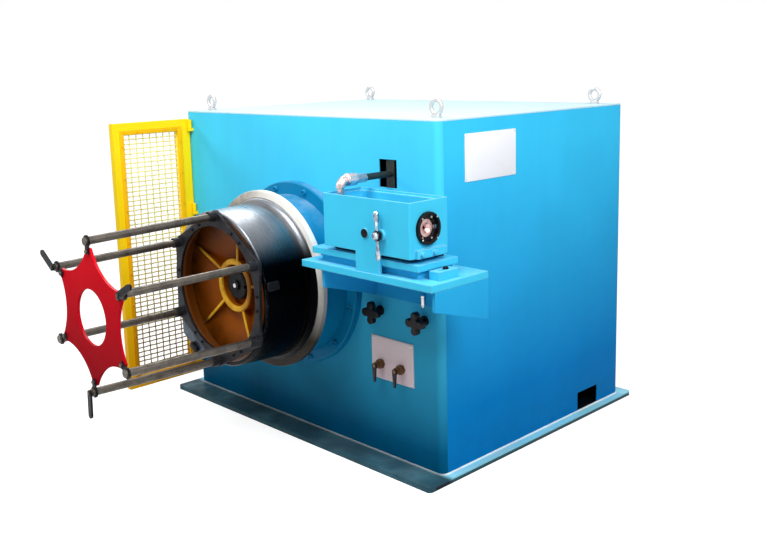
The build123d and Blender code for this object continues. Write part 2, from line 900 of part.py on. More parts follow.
def clamp_handle():
    boss_face = wall_reach + box_reach + clamp_boss_length
    hub_back = boss_face + end_gap
    hub_middle = hub_back + clamp_hub_length / 2
    spindle_tip = die_reach + cradle_width / 2 + end_gap
    lean = radians(handle_lean)
    with BuildPart() as handle:
        with BuildSketch(face_plane(hub_back, clamp_x, clamp_height)):
            Circle(clamp_hub_radius)
        extrude(amount=clamp_hub_length)
        with BuildSketch(face_plane(spindle_tip, clamp_x, clamp_height)):
            Circle(clamp_spindle_radius)
        extrude(amount=hub_back - spindle_tip)
        along = (sin(lean), 0, cos(lean))
        start = (clamp_x - handle_reach * along[0], -hub_middle, clamp_height - handle_reach * along[2])
        end = (clamp_x + handle_reach * along[0], -hub_middle, clamp_height + handle_reach * along[2])
        with BuildSketch(Plane(origin=start, z_dir=along, x_dir=(0, 1, 0))):
            Circle(handle_bar_radius)
        extrude(amount=2 * handle_reach)
        with Locations(start, end):
            Sphere(handle_ball_radius)
    save(handle, "clamp_handle")


def lubricant_pipe():
    pipe_back = wall_reach - sheet - pipe_inside_reach
    union_back = wall_reach + pipe_reach - elbow_bend_radius - union_length
    coupling_back = union_back - coupling_length
    with BuildPart() as pipe:
        with BuildSketch(face_plane(pipe_back, pipe_x, pipe_height)):
            Circle(pipe_radius)
        extrude(amount=coupling_back - pipe_back)
        with BuildSketch(face_plane(wall_reach - sheet - strap_thickness, pipe_x, pipe_height)):
            Rectangle(strap_width, pipe_port_height + strap_width)
        extrude(amount=strap_thickness)
    save(pipe, "lubricant_pipe")

    bend_start = union_back + union_length
    spout_top = pipe_height - elbow_bend_radius
    bend_axis = Axis((pipe_x, -bend_start, spout_top), (1, 0, 0))
    with BuildPart() as fitting:
        with BuildSketch(face_plane(coupling_back, pipe_x, pipe_height)):
            RegularPolygon(coupling_radius, 6)
        extrude(amount=coupling_length)
        with BuildSketch(face_plane(union_back, pipe_x, pipe_height)):
            Circle(union_radius)
        extrude(amount=union_length)
        chamfer(fitting.edges().filter_by(GeomType.CIRCLE), union_bevel)
        with BuildSketch(face_plane(bend_start, pipe_x, pipe_height)):
            Circle(elbow_radius)
        revolve(axis=bend_axis, revolution_arc=90)
        with BuildSketch(Plane.XY.offset(box_top - spout_depth)):
            with Locations((pipe_x, -bend_start - elbow_bend_radius)):
                Circle(pipe_radius)
        extrude(amount=spout_top - box_top + spout_depth)
    save(fitting, "pipe_fitting")


def knobs():
    base_face = wall_reach + knob_base_length
    with BuildPart() as bases:
        for x in knob_xs:
            with BuildSketch(face_plane(wall_reach, x, knob_height)):
                Circle(knob_base_radius)
            extrude(amount=knob_base_length)
    save(bases, "knob_bases")
    for number, x in enumerate(knob_xs, start=1):
        back = base_face + end_gap
        with BuildPart() as knob:
            with BuildSketch(face_plane(back + knob_stem_length, x, knob_height)):
                with PolarLocations(knob_lobe_offset, 4):
                    Circle(knob_lobe_radius)
                Circle(knob_hub_radius)
            extrude(amount=knob_thickness)
            chamfer(knob.faces().sort_by(Axis.Y)[0].edges(), knob_edge)
            with BuildSketch(face_plane(back, x, knob_height)):
                Circle(knob_stem_radius)
            extrude(amount=knob_stem_length)
        save(knob, f"valve_knob_{number}")


def lever_valves():
    width, height = valve_plate_right - valve_plate_left, valve_plate_top - valve_plate_bottom
    with BuildPart() as plate:
        with BuildSketch(face_plane(wall_reach, valve_plate_left + width / 2,
                                    valve_plate_bottom + height / 2)):
            Rectangle(width, height)
        extrude(amount=valve_plate_thickness)
    save(plate, "valve_plate")
    plate_face = wall_reach + valve_plate_thickness
    bonnet_back = plate_face + valve_body_length
    body_face = bonnet_back + valve_bonnet_length
    with BuildPart() as bodies:
        for x in valve_xs:
            with BuildSketch(face_plane(plate_face, x, valve_height)):
                RegularPolygon(valve_body_radius, 6)
            extrude(amount=valve_body_length)
            with BuildSketch(face_plane(bonnet_back, x, valve_height)):
                Circle(valve_bonnet_radius)
            extrude(amount=valve_bonnet_length)
            with BuildSketch(face_plane(body_face, x, valve_height)):
                Circle(valve_stem_radius)
            extrude(amount=lever_gap + lever_thickness)
    save(bodies, "valve_bodies")
    for number, x in enumerate(valve_xs, start=1):
        with BuildPart() as lever:
            with BuildSketch(face_plane(body_face + lever_gap, x, valve_height)):
                Circle(lever_width / 2 + lever_thickness / 2)
                with Locations((0, -lever_length)):
                    Circle(lever_tip_width / 2)
                make_hull()
                Circle(valve_stem_radius + bore_clearance, mode=Mode.SUBTRACT)
            extrude(amount=lever_thickness)
        save(lever, f"valve_lever_{number}")


base_plate()
front_panel()
back_panel()
side_panels()
top_panel()
lifting_eyes()
bearing()
drum_shaft()
block_flange()
drum_block()
drum_web()
hub_nut()
wire_clamp()
wire_gripper()
cage_ring()
cage_rods()
star_plate()
star_clips()
coil_latches()
guard_frame()
guard_hinges()
shelf()
slide_base()
slide_clamp()
die_box()
clamp_handle()
lubricant_pipe()
knobs()
lever_valves()
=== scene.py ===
"""Dresses the wire drawing machine: finishes, fasteners, guard mesh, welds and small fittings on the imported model."""

import logging
import math
from dataclasses import dataclass, replace
from enum import Enum
from typing import Any, Iterable, Iterator, Sequence

import bmesh
import bpy
from mathutils import Matrix, Vector


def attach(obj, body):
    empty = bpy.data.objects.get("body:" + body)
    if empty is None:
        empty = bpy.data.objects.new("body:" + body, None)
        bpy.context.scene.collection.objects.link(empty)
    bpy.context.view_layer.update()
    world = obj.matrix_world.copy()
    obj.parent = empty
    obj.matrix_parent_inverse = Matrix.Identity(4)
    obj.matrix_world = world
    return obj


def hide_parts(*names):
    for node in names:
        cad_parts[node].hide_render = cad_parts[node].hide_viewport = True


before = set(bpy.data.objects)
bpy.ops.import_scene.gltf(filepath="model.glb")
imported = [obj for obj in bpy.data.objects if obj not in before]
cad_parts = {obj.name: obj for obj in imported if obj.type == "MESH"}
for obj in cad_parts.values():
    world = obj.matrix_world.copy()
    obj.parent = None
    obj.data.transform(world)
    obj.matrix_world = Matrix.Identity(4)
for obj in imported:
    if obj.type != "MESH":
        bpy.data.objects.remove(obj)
log = logging.getLogger("wire_drawing_machine")

Point = tuple[float, float, float]
Flat = tuple[float, float]
Colour = tuple[int, int, int]
Values = dict[Any, Any]

FRONT: Point = (0.0, -1.0, 0.0)
RIGHT: Point = (1.0, 0.0, 0.0)
UP: Point = (0.0, 0.0, 1.0)

DRUM_AXIS_HEIGHT = 0.717
HOUSING_HALF_WIDTH = 0.8325
HOUSING_HALF_DEPTH = 0.627
HOUSING_CORNER = 0.028
HOUSING_TOP = 1.400
INNER_SKIN = 0.004
SMOOTH_ANGLE = math.radians(32)
WELD_DISTANCE = 0.00001
# Painted shade on the cream flange's left side fades out across this span.
SHADED_SIDE_SPAN = (-0.16, 0.08)
# Painted shade in front of the housing's front wall fades out across this span.
SHADED_FRONT_EDGE = (-0.64, -0.60)
# Painted shade on the foot's front edge face lies in front of the first span and below the second.
FOOT_FRONT_EDGE = (-0.72, -0.70)
FOOT_RIM = (0.011, 0.018)
GAP_EDGE = 0.0005
GAP_DARKNESS = 0.92

# Painted shade, near-black, inside the housing and on the foot's front edge face.
DEEP_SHADE: Colour = (8, 16, 22)
# Painted shade that turns the drum black below its top.
BLACK_SHADE: Colour = (4, 4, 6)
# Painted shade for the foot and weld in front of the housing.
FRONT_SHADE_PAINT: Colour = (2, 34, 50)
GAP_SHADOW: Colour = (2, 22, 48)
# Painted shade, brown, in patches on the cream flange's left side.
SIDE_SHADE_BROWN: Colour = (104, 88, 70)
DIRT: Colour = (16, 30, 38)
DUST: Colour = (196, 203, 204)
BRIGHT_EDGE: Colour = (120, 124, 130)
WHITE = (1.0, 1.0, 1.0, 1.0)


class Body(Enum):
    """The bodies that pieces ride on."""

    FRAME = "frame"
    DRUM = "drum"
    GUARD = "guard_door"
    DIE_CLAMP = "die_clamp"
    LEVER_1 = "lever_1"
    LEVER_2 = "lever_2"


class Effect(Enum):
    """The shader effects that several finishes share."""

    EDGE_WEAR = "edge wear"
    PAINT_FILM = "paint film"
    TURNED_GRAIN = "turned grain"
    GRIME = "settled grime"


def linear(colour: Colour) -> tuple[float, float, float, float]:
    """Turns an eight-bit display colour into scene-linear values.

    Args:
        colour: Red, green and blue from 0 to 255.

    Returns:
        The linear colour with full alpha.
    """
    shares = [channel / 255 for channel in colour]
    values = [s / 12.92 if s <= 0.04045 else ((s + 0.055) / 1.055) ** 2.4 for s in shares]
    return (values[0], values[1], values[2], 1.0)


def link_object(name: str, data: bpy.types.ID) -> bpy.types.Object:
    """Makes an object and links it to the scene.

    Args:
        name: The object's name.
        data: Its mesh, lamp or camera.

    Returns:
        The object.
    """
    made = bpy.data.objects.new(name, data)
    bpy.context.scene.collection.objects.link(made)
    return made


class Wire:
    """A node's output, with arithmetic that adds nodes to its graph."""

    def __init__(self, graph: "Graph", socket: bpy.types.NodeSocket) -> None:
        """Keeps the output and its graph."""
        self.graph, self.socket = graph, socket

    def __add__(self, other: Any) -> "Wire":
        """Adds a value."""
        return self.graph.math("ADD", self, other)

    def __sub__(self, other: Any) -> "Wire":
        """Takes a value away."""
        return self.graph.math("SUBTRACT", self, other)

    def __mul__(self, other: Any) -> "Wire":
        """Multiplies by a value."""
        return self.graph.math("MULTIPLY", self, other)

    def __truediv__(self, other: Any) -> "Wire":
        """Divides by a value."""
        return self.graph.math("DIVIDE", self, other)

    def ramp(self, low: float, high: float, out_low: float = 0.0, out_high: float = 1.0) -> "Wire":
        """Maps this value smoothly from one range to another."""
        ends = {"Value": self, "From Min": low, "From Max": high, "To Min": out_low, "To Max": out_high}
        return self.graph.out("ShaderNodeMapRange", ends, "Result", interpolation_type="SMOOTHSTEP")

    def noise(self, scale: Any, detail: float, roughness: float) -> "Wire":
        """Reads a noise texture at this place."""
        inputs = {"Vector": self, "Scale": scale, "Detail": detail, "Roughness": roughness}
        return self.graph.out("ShaderNodeTexNoise", inputs)


class Graph:
    """Adds nodes to one tree and joins them."""

    def __init__(self, tree: bpy.types.NodeTree) -> None:
        """Keeps the tree that the nodes go into."""
        self.tree = tree

    def feed(self, socket: bpy.types.NodeSocket, value: Any) -> None:
        """Links an input to a wire, or sets its plain value.

        Args:
            socket: The input to fill.
            value: A wire, or the value itself.
        """
        if isinstance(value, Wire):
            self.tree.links.new(value.socket, socket)
        else:
            socket.default_value = value

    def add(self, kind: str, inputs: Values | None = None, **settings: Any) -> bpy.types.Node:
        """Adds one node.

        Args:
            kind: The node's type name.
            inputs: Values or wires for its inputs, by name or place.
            **settings: The node's own properties.

        Returns:
            The new node.
        """
        node = self.tree.nodes.new(kind)
        for name, value in settings.items():
            setattr(node, name, value)
        for key, value in (inputs or {}).items():
            self.feed(node.inputs[key], value)
        return node

    def out(self, kind: str, inputs: Values | None = None, output: int | str = 0, **settings: Any) -> Wire:
        """Adds one node for a single output."""
        return Wire(self, self.add(kind, inputs, **settings).outputs[output])

    def math(self, operation: str, first: Any, second: Any = 0.0, clamp: bool = False) -> Wire:
        """Adds a shader Math node."""
        return self.out("ShaderNodeMath", {0: first, 1: second}, operation=operation, use_clamp=clamp)

    def length(self, first: Wire, second: Wire) -> Wire:
        """Gives the length of two legs at a right angle."""
        return self.math("SQRT", first * first + second * second)

    def split(self, vector: Wire) -> tuple[Wire, Wire, Wire]:
        """Splits a vector into its three parts."""
        x, y, z = self.add("ShaderNodeSeparateXYZ", {0: vector}).outputs
        return Wire(self, x), Wire(self, y), Wire(self, z)

    def join(self, x: Any = 0.0, y: Any = 0.0, z: Any = 0.0) -> Wire:
        """Joins three parts into a vector."""
        return self.out("ShaderNodeCombineXYZ", {0: x, 1: y, 2: z})

    def mix(self, factor: Any, first: Any, second: Any, blend: str = "MIX") -> Wire:
        """Mixes two colours.

        Args:
            factor: The share of the second colour.
            first: The first colour, as a wire or as display or linear values.
            second: The second colour, likewise.
            blend: How they are blended.

        Returns:
            The mixed colour.
        """
        first, second = (linear(c) if isinstance(c, tuple) and len(c) == 3 else c for c in (first, second))
        inputs = {0: factor, 6: first, 7: second}
        return self.out("ShaderNodeMix", inputs, 2, data_type="RGBA", blend_type=blend)

    def layers(self, colour: Any, *layers: tuple[Any, Any]) -> Wire:
        """Lays colours over one another.

        Args:
            colour: The lowest colour.
            *layers: The mask and colour of each layer, upwards.

        Returns:
            The colour on top.
        """
        for mask, above in layers:
            colour = self.mix(mask, colour, above)
        return colour


class Group(Graph):
    """A node group with named inputs and outputs."""

    def __init__(self, kind: str, name: str, inputs: Values, outputs: dict[str, str]) -> None:
        """Makes the group and its sockets.

        Args:
            kind: The type of its tree.
            name: The group's name.
            inputs: Its inputs' names, each with its plain value or the kind of its socket.
            outputs: Its outputs' names and the kinds of their sockets.
        """
        super().__init__(bpy.data.node_groups.new(name, kind))
        kinds = {int: "Int", float: "Float", tuple: "Vector"}
        for key, value in inputs.items():
            plain = not isinstance(value, str)
            named = ("Color" if value == WHITE else kinds[type(value)]) if plain else value
            socket = self.tree.interface.new_socket(key, in_out="INPUT", socket_type="NodeSocket" + named)
            if plain:
                socket.default_value = value
        for key, named in outputs.items():
            self.tree.interface.new_socket(key, in_out="OUTPUT", socket_type="NodeSocket" + named)
        self.inside, self.result = self.add("NodeGroupInput"), self.add("NodeGroupOutput")

    def given(self, name: str) -> Wire:
        """Gives one of the group's inputs."""
        return Wire(self, self.inside.outputs[name])

    def give(self, **outputs: Wire) -> bpy.types.NodeTree:
        """Fills the group's outputs.

        Args:
            **outputs: What goes to each output.

        Returns:
            The finished group.
        """
        for name, value in outputs.items():
            self.feed(self.result.inputs[name], value)
        return self.tree


class Effects:
    """Builds each shared shader node group once."""

    def __init__(self) -> None:
        """Builds the four groups."""
        self.groups: dict[Effect, bpy.types.NodeTree] = {
            Effect.EDGE_WEAR: self._edge_wear(),
            Effect.PAINT_FILM: self._paint_film(),
            Effect.TURNED_GRAIN: self._turned_grain(),
            Effect.GRIME: self._grime(),
        }

    @staticmethod
    def _start(effect: Effect, inputs: Values, outputs: dict[str, str]) -> tuple[Group, Wire]:
        """Starts a group."""
        group = Group("ShaderNodeTree", effect.value, inputs, outputs)
        return group, group.out("ShaderNodeTexCoord", output="Object")

    def _edge_wear(self) -> bpy.types.NodeTree:
        """Finds edges and breaks them up, and puts out an edge mask, which lays wear on most finishes and a painted
        highlight on a few, and a softened normal.

        Returns:
            The group.
        """
        inputs = {"Radius": 0.003, "Amount": 0.5, "Breakup": 55.0}
        group, place = self._start(Effect.EDGE_WEAR, inputs, {"Mask": "Float", "Normal": "Vector"})
        softened = group.out("ShaderNodeBevel", {"Radius": group.given("Radius")}, samples=4)
        plain = group.out("ShaderNodeNewGeometry", output="Normal")
        same = group.out("ShaderNodeVectorMath", {0: softened, 1: plain}, "Value", operation="DOT_PRODUCT")
        edge = group.math("SUBTRACT", 1.0, same, clamp=True)
        rough = place.noise(group.given("Breakup"), 4.0, 0.65)
        spread = edge + (rough - 0.62) * 0.55
        mask = spread.ramp(0.03, 0.14) * group.given("Amount") * edge.ramp(0.004, 0.03)
        return group.give(Mask=mask, Normal=softened)

    def _paint_film(self) -> bpy.types.NodeTree:
        """Gives sprayed paint its uneven shade, wiped streaks and orange peel.

        Returns:
            The group.
        """
        inputs = {"Colour": WHITE, "Variation": 0.12, "Roughness": 0.35, "Peel Scale": 240.0}
        outputs = {"Colour": "Color", "Roughness": "Float", "Height": "Float"}
        group, place = self._start(Effect.PAINT_FILM, inputs, outputs)
        cloud = place.noise(2.3, 5.0, 0.55)
        drawn = group.out("ShaderNodeMapping", {"Vector": place, "Scale": (9.0, 9.0, 0.7)})
        spread = (cloud - 0.5) + (drawn.noise(1.6, 4.0, 0.6) - 0.5) * 0.3
        shade = spread * group.given("Variation") + 1.0
        grey = group.out("ShaderNodeCombineColor", {0: shade, 1: shade, 2: shade})
        smear = (place.noise(7.0, 4.0, 0.6) - 0.5) * 0.3
        peel = place.noise(group.given("Peel Scale"), 1.0, 0.5)
        return group.give(
            Colour=group.mix(1.0, group.given("Colour"), grey, "MULTIPLY"),
            Roughness=group.math("ADD", group.given("Roughness"), smear, clamp=True),
            Height=peel * 0.25 + place.noise(3.2, 1.0, 0.4),
        )

    def _turned_grain(self) -> bpy.types.NodeTree:
        """Draws the fine rings that a lathe leaves round the drum's axis.

        Returns:
            The group.
        """
        inputs = {"Axis Height": DRUM_AXIS_HEIGHT, "Lines": 420.0}
        group, place = self._start(Effect.TURNED_GRAIN, inputs, {"Mask": "Float", "Height": "Float"})
        across, deep, height = group.split(place)
        up = height - group.given("Axis Height")
        lines = group.given("Lines")
        turn = group.math("ARCTAN2", up, across)
        fine = group.join(group.length(across, up) * lines, deep * lines, turn * 1.4).noise(1.0, 3.0, 0.6)
        return group.give(Mask=fine.ramp(0.3, 0.7), Height=fine)

    def _grime(self) -> bpy.types.NodeTree:
        """Gathers dust on faces that look up, and dirt low down.

        Returns:
            The group.
        """
        inputs = {"Reach": 0.45, "Dust": 0.3, "Dirt": 0.3}
        group, place = self._start(Effect.GRIME, inputs, {"Dust": "Float", "Dirt": "Float"})
        height = group.split(place)[2]
        facing = group.split(group.out("ShaderNodeNewGeometry", output="Normal"))[2]
        settled = facing.ramp(0.55, 0.95) * place.noise(9.0, 5.0, 0.65).ramp(0.28, 0.72)
        low = group.math("SUBTRACT", 1.0, height / group.given("Reach"), clamp=True)
        patchy = low * low * place.noise(15.0, 6.0, 0.7).ramp(0.3, 0.75, 0.35, 1.0)
        return group.give(Dust=settled * group.given("Dust"), Dirt=patchy * group.given("Dirt"))


class Coat(Graph):
    """A material's graph, with the Principled shader and what every finish reads."""

    def __init__(self, name: str, effects: Effects | None = None) -> None:
        """Starts the material.

        Args:
            name: The material's name.
            effects: The shared node groups.
        """
        self.material = bpy.data.materials.new(name)
        self.material.use_nodes = True
        self.material.node_tree.nodes.clear()
        super().__init__(self.material.node_tree)
        self.effects = effects
        self.shader = self.add("ShaderNodeBsdfPrincipled")
        self.output = self.add("ShaderNodeOutputMaterial", {"Surface": Wire(self, self.shader.outputs[0])})
        self.place = self.out("ShaderNodeTexCoord", output="Object")
        self.across, self.deep, self.height = self.split(self.place)

    def effect(self, effect: Effect, inputs: Values) -> dict[str, Wire]:
        """Places a shared group.

        Args:
            effect: Which group.
            inputs: Its values or wires, by name.

        Returns:
            Its outputs, by name.
        """
        node = self.tree.nodes.new("ShaderNodeGroup")
        node.node_tree = self.effects.groups[effect]
        for name, value in inputs.items():
            self.feed(node.inputs[name], value)
        return {output.name: Wire(self, output) for output in node.outputs}

    def worn(self, radius: float, amount: float, breakup: float = 55.0) -> dict[str, Wire]:
        """Places the edge mask, for wear on most finishes and for a painted highlight on a few."""
        return self.effect(Effect.EDGE_WEAR, {"Radius": radius, "Amount": amount, "Breakup": breakup})

    def bump(self, strength: float, distance: float, height: Wire, normal: Wire) -> Wire:
        """Raises the surface."""
        inputs = {"Strength": strength, "Distance": distance, "Height": height, "Normal": normal}
        return self.out("ShaderNodeBump", inputs)

    def finished(self, inputs: Values) -> bpy.types.Material:
        """Fills the shader.

        Args:
            inputs: Its values or wires, by name.

        Returns:
            The material.
        """
        for name, value in inputs.items():
            self.feed(self.shader.inputs[name], value)
        return self.material


@dataclass(frozen=True)
class Paint:
    """Sprayed enamel over steel, worn to primer or metal along its edges, with painted shade and painted edge
    highlights on some coats.
    """

    name: str
    colour: Colour
    roughness: float = 0.34
    variation: float = 0.2
    # Worn edges go to this colour; on a few coats it is a pale painted highlight on the edges instead.
    wear_and_highlight_colour: Colour = (92, 92, 90)
    wear: float = 0.35
    wear_radius: float = 0.0025
    dust: float = 0.25
    dirt: float = 0.25
    gloss: float = 0.02
    sheen: float = 0.06
    # Painted shade: the coat darkens towards this colour from high_height down to low_height.
    shaded_low_colour: Colour | None = None
    low_height: float = 0.1
    high_height: float = 1.3
    # These switch on painted shade: inside the housing, in front of it, on the foot's front edge, on the left side and
    # in a gap.
    hollow: bool = False
    front_shade: float = 0.0
    dark_edge: float = 0.0
    left_shade: float = 0.0
    gap: Flat | None = None

    def _painted_shade(self, coat: Coat) -> Iterator[tuple[Wire, Colour]]:
        """Gives the painted shade that some coats of paint have over the rest.

        Args:
            coat: The material's graph.

        Yields:
            Each painted shade's mask and colour.
        """
        # Painted shade: brown patches darken the coat's left side, as if it faced away from the light.
        if self.left_shade:
            patches = coat.place.noise(12.0, 5.0, 0.65).ramp(0.2, 0.7, 0.5, 1.0)
            yield coat.across.ramp(*SHADED_SIDE_SPAN, self.left_shade, 0.0) * patches, SIDE_SHADE_BROWN
        # Painted shade: patches darken the coat in front of the housing's front wall, where the drum and shelf shade
        # it.
        if self.front_shade:
            patchy = coat.place.noise(6.0, 4.0, 0.6).ramp(0.2, 0.6, 0.86, 1.0)
            yield coat.deep.ramp(*SHADED_FRONT_EDGE, self.front_shade, 0.0) * patchy, FRONT_SHADE_PAINT
        if self.gap:
            low, high = self.gap
            under = coat.height.ramp(high - GAP_EDGE, high, GAP_DARKNESS, 0.0)
            yield coat.height.ramp(low, low + GAP_EDGE) * under, GAP_SHADOW
        # Painted shade: near-black on every face inside the housing, where no light reaches.
        if self.hollow:
            past = [coat.math("MAXIMUM", coat.math("ABSOLUTE", away) - (half - HOUSING_CORNER), 0.0)
                    for away, half in ((coat.across, HOUSING_HALF_WIDTH), (coat.deep, HOUSING_HALF_DEPTH))]
            within = coat.math("LESS_THAN", coat.length(*past), HOUSING_CORNER - INNER_SKIN)
            yield within * coat.math("LESS_THAN", coat.height, HOUSING_TOP - INNER_SKIN), DEEP_SHADE
        # Painted shade: near-black on the foot's front edge face.
        if self.dark_edge:
            yield coat.height.ramp(*FOOT_RIM, self.dark_edge, 0.0) * coat.deep.ramp(*FOOT_FRONT_EDGE), DEEP_SHADE

    def material(self, effects: Effects) -> bpy.types.Material:
        """Builds the paint.

        Args:
            effects: The shared node groups.

        Returns:
            The material.
        """
        coat = Coat(self.name, effects)
        plain: Any = linear(self.colour)
        # Painted shade: darker towards the bottom.
        if self.shaded_low_colour:
            ends = {"Value": coat.height, "From Min": self.low_height, "From Max": self.high_height}
            plain = coat.mix(coat.out("ShaderNodeMapRange", ends), self.shaded_low_colour, plain)
        film = coat.effect(
            Effect.PAINT_FILM, {"Colour": plain, "Variation": self.variation, "Roughness": self.roughness})
        edge = coat.worn(self.wear_radius, self.wear)
        grime = coat.effect(Effect.GRIME, {"Dust": self.dust, "Dirt": self.dirt})
        marks = (grime["Dirt"], DIRT), (grime["Dust"], DUST), (edge["Mask"], self.wear_and_highlight_colour)
        return coat.finished({
            "Base Color": coat.layers(film["Colour"], *marks, *self._painted_shade(coat)),
            "Roughness": coat.math("ADD", film["Roughness"], grime["Dust"] * 0.4, clamp=True),
            "Normal": coat.bump(0.12, 0.0012, film["Height"], edge["Normal"]),
            "Specular IOR Level": self.sheen, "Coat Weight": self.gloss, "Coat Roughness": 0.12,
        })


@dataclass(frozen=True)
class WebPaint:
    """Amber enamel on the drum's web, deeper towards the rim, with painted shadow over its upper right and a painted
    highlight on the ribs' edges.
    """

    name: str = "amber enamel"
    colour: Colour = (150, 76, 0)
    deep_colour: Colour = (44, 20, 0)
    rib_highlight_colour: Colour = (250, 196, 56)
    rim_radius: float = 0.30
    rib_rise: float = 0.9634
    rib_slope: float = 0.0853
    roughness: float = 0.42

    def material(self, effects: Effects) -> bpy.types.Material:
        """Builds the web's paint.

        Args:
            effects: The shared node groups.

        Returns:
            The material.
        """
        coat = Coat(self.name, effects)
        up = coat.height - DRUM_AXIS_HEIGHT
        radius = coat.length(coat.across, up)
        film = coat.effect(
            Effect.PAINT_FILM, {"Colour": linear(self.colour), "Variation": 0.6, "Roughness": self.roughness})
        edge = coat.worn(0.004, 0.5, 24.0)
        # Darker in patches towards the rim.
        rim_darkening = radius.ramp(0.15, self.rim_radius) * coat.place.noise(11.0, 5.0, 0.65).ramp(0.2, 0.75, 0.55, 1.0)
        # Painted shadow: the web's upper right, which the ring's rim shades, darkens to the deep colour.
        shaded = coat.across.ramp(-0.02, 0.16, 0.0, 0.75) * up.ramp(-0.16, 0.05, 0.2, 1.0)
        # Painted highlight: the ribs' front edges turn bright yellow, less where the painted shadow lies.
        above = coat.deep * -1.0 - (radius * self.rib_slope + self.rib_rise)
        ridge = above.ramp(-0.006, -0.002, 0.0, 0.8) * radius.ramp(0.24, 0.275, 1.0, 0.0)
        rib_highlight = ridge * coat.place.noise(14.0, 4.0, 0.6).ramp(0.25, 0.6, 0.5, 1.0) * shaded.ramp(0.0, 0.5, 1.0, 0.12)
        # The edge mask lays the same bright yellow on every edge as a painted highlight.
        colour = coat.layers(
            film["Colour"], (rim_darkening, self.deep_colour), (shaded, self.deep_colour), (rib_highlight, self.rib_highlight_colour),
            (edge["Mask"], self.rib_highlight_colour))
        return coat.finished({
            "Base Color": colour, "Roughness": film["Roughness"],
            "Normal": coat.bump(0.18, 0.0015, film["Height"], edge["Normal"]),
            "Specular IOR Level": 0.1, "Coat Weight": 0.06, "Coat Roughness": 0.2,
        })


@dataclass(frozen=True)
class TurnedSteel:
    """Lathe-turned steel with fine rings round the drum's axis, an oil film, and painted shade that turns it black
    below the drum's top.
    """

    name: str
    colour: Colour = (158, 162, 168)
    dark_colour: Colour = (30, 36, 46)
    roughness: float = 0.22
    lines: float = 420.0
    stain: float = 0.5
    # Painted shade: the drum is black below the first height and unshaded above the second.
    fully_shaded_height: float = 0.84
    unshaded_height: float = 1.01
    bore_radius: float = 0.302
    bore_colour: Colour = (92, 46, 2)

    def material(self, effects: Effects) -> bpy.types.Material:
        """Builds the steel.

        Args:
            effects: The shared node groups.

        Returns:
            The material.
        """
        coat = Coat(self.name, effects)
        grain = coat.effect(Effect.TURNED_GRAIN, {"Lines": self.lines})
        edge = coat.worn(0.003, 0.6)
        film = coat.place.noise(5.0, 5.0, 0.6).ramp(0.35, 0.75) * self.stain
        radius = coat.length(coat.across, coat.height - DRUM_AXIS_HEIGHT)
        painted = coat.math("LESS_THAN", radius, self.bore_radius)
        colour = coat.layers(
            self.colour, (grain["Mask"] * 0.3, self.dark_colour), (film, self.dark_colour),
            # Painted shade: black towards the bottom of the drum.
            (coat.height.ramp(self.fully_shaded_height, self.unshaded_height, 1.0, 0.0), BLACK_SHADE),
            (edge["Mask"], BRIGHT_EDGE), (painted, self.bore_colour))
        rough = grain["Mask"] * 0.12 + film * 0.18
        return coat.finished({
            "Base Color": colour, "Metallic": coat.math("SUBTRACT", 1.0, painted),
            "Roughness": coat.math("ADD", rough, self.roughness, clamp=True),
            "Normal": coat.bump(0.3, 0.0004, grain["Height"], edge["Normal"]),
            "Anisotropic": 0.75, "Tangent": coat.out("ShaderNodeTangent", direction_type="RADIAL", axis="Y"),
        })


@dataclass(frozen=True)
class WorkedMetal:
    """Bar, plate or cast metal with its skin, scratches and bright worn edges."""

    name: str
    colour: Colour
    skin_colour: Colour
    metallic: float = 0.9
    roughness: float = 0.38
    skin: float = 0.5
    grain_scale: float = 60.0
    pitted: float = 0.2
    wear_and_highlight_colour: Colour = (168, 170, 174)
    wear: float = 0.5
    sheen: float = 0.5

    def material(self, effects: Effects) -> bpy.types.Material:
        """Builds the metal.

        Args:
            effects: The shared node groups.

        Returns:
            The material.
        """
        coat = Coat(self.name, effects)
        edge = coat.worn(0.0018, self.wear, 90.0)
        patches = coat.place.noise(self.grain_scale * 0.35, 5.0, 0.65).ramp(0.35, 0.68)
        drawn = coat.out("ShaderNodeMapping", {"Vector": coat.place, "Scale": (240.0, 12.0, 240.0)})
        scratches = drawn.noise(1.0, 2.0, 0.6).ramp(0.55, 0.75)
        colour = coat.layers(
            self.colour, (patches * self.skin, self.skin_colour), (scratches * 0.25, self.wear_and_highlight_colour),
            (edge["Mask"], self.wear_and_highlight_colour))
        pits = coat.place.noise(self.grain_scale * 9.0, 2.0, 0.7)
        return coat.finished({
            "Base Color": colour, "Metallic": self.metallic, "Specular IOR Level": self.sheen,
            "Roughness": coat.math("ADD", self.roughness, (patches - scratches) * 0.12, clamp=True),
            "Normal": coat.bump(self.pitted, 0.0006, pits, edge["Normal"]),
        })


@dataclass(frozen=True)
class Moulding:
    """Moulded plastic or rubber with a fine sparkle and handling shine."""

    name: str
    colour: Colour = (7, 7, 12)
    handled_colour: Colour = (26, 26, 34)
    roughness: float = 0.42

    def material(self, effects: Effects) -> bpy.types.Material:
        """Builds the plastic.

        Args:
            effects: The shared node groups.

        Returns:
            The material.
        """
        coat = Coat(self.name, effects)
        edge = coat.worn(0.003, 0.55, 120.0)
        smear = coat.place.noise(30.0, 4.0, 0.6).ramp(0.35, 0.7)
        marks = (smear * 0.25, self.handled_colour), (edge["Mask"], self.handled_colour)
        return coat.finished({
            "Base Color": coat.layers(self.colour, *marks), "Specular IOR Level": 0.2,
            "Roughness": coat.math("ADD", self.roughness, smear * -0.14, clamp=True),
            "Normal": coat.bump(0.15, 0.0003, coat.place.noise(900.0, 2.0, 0.6), edge["Normal"]),
        })


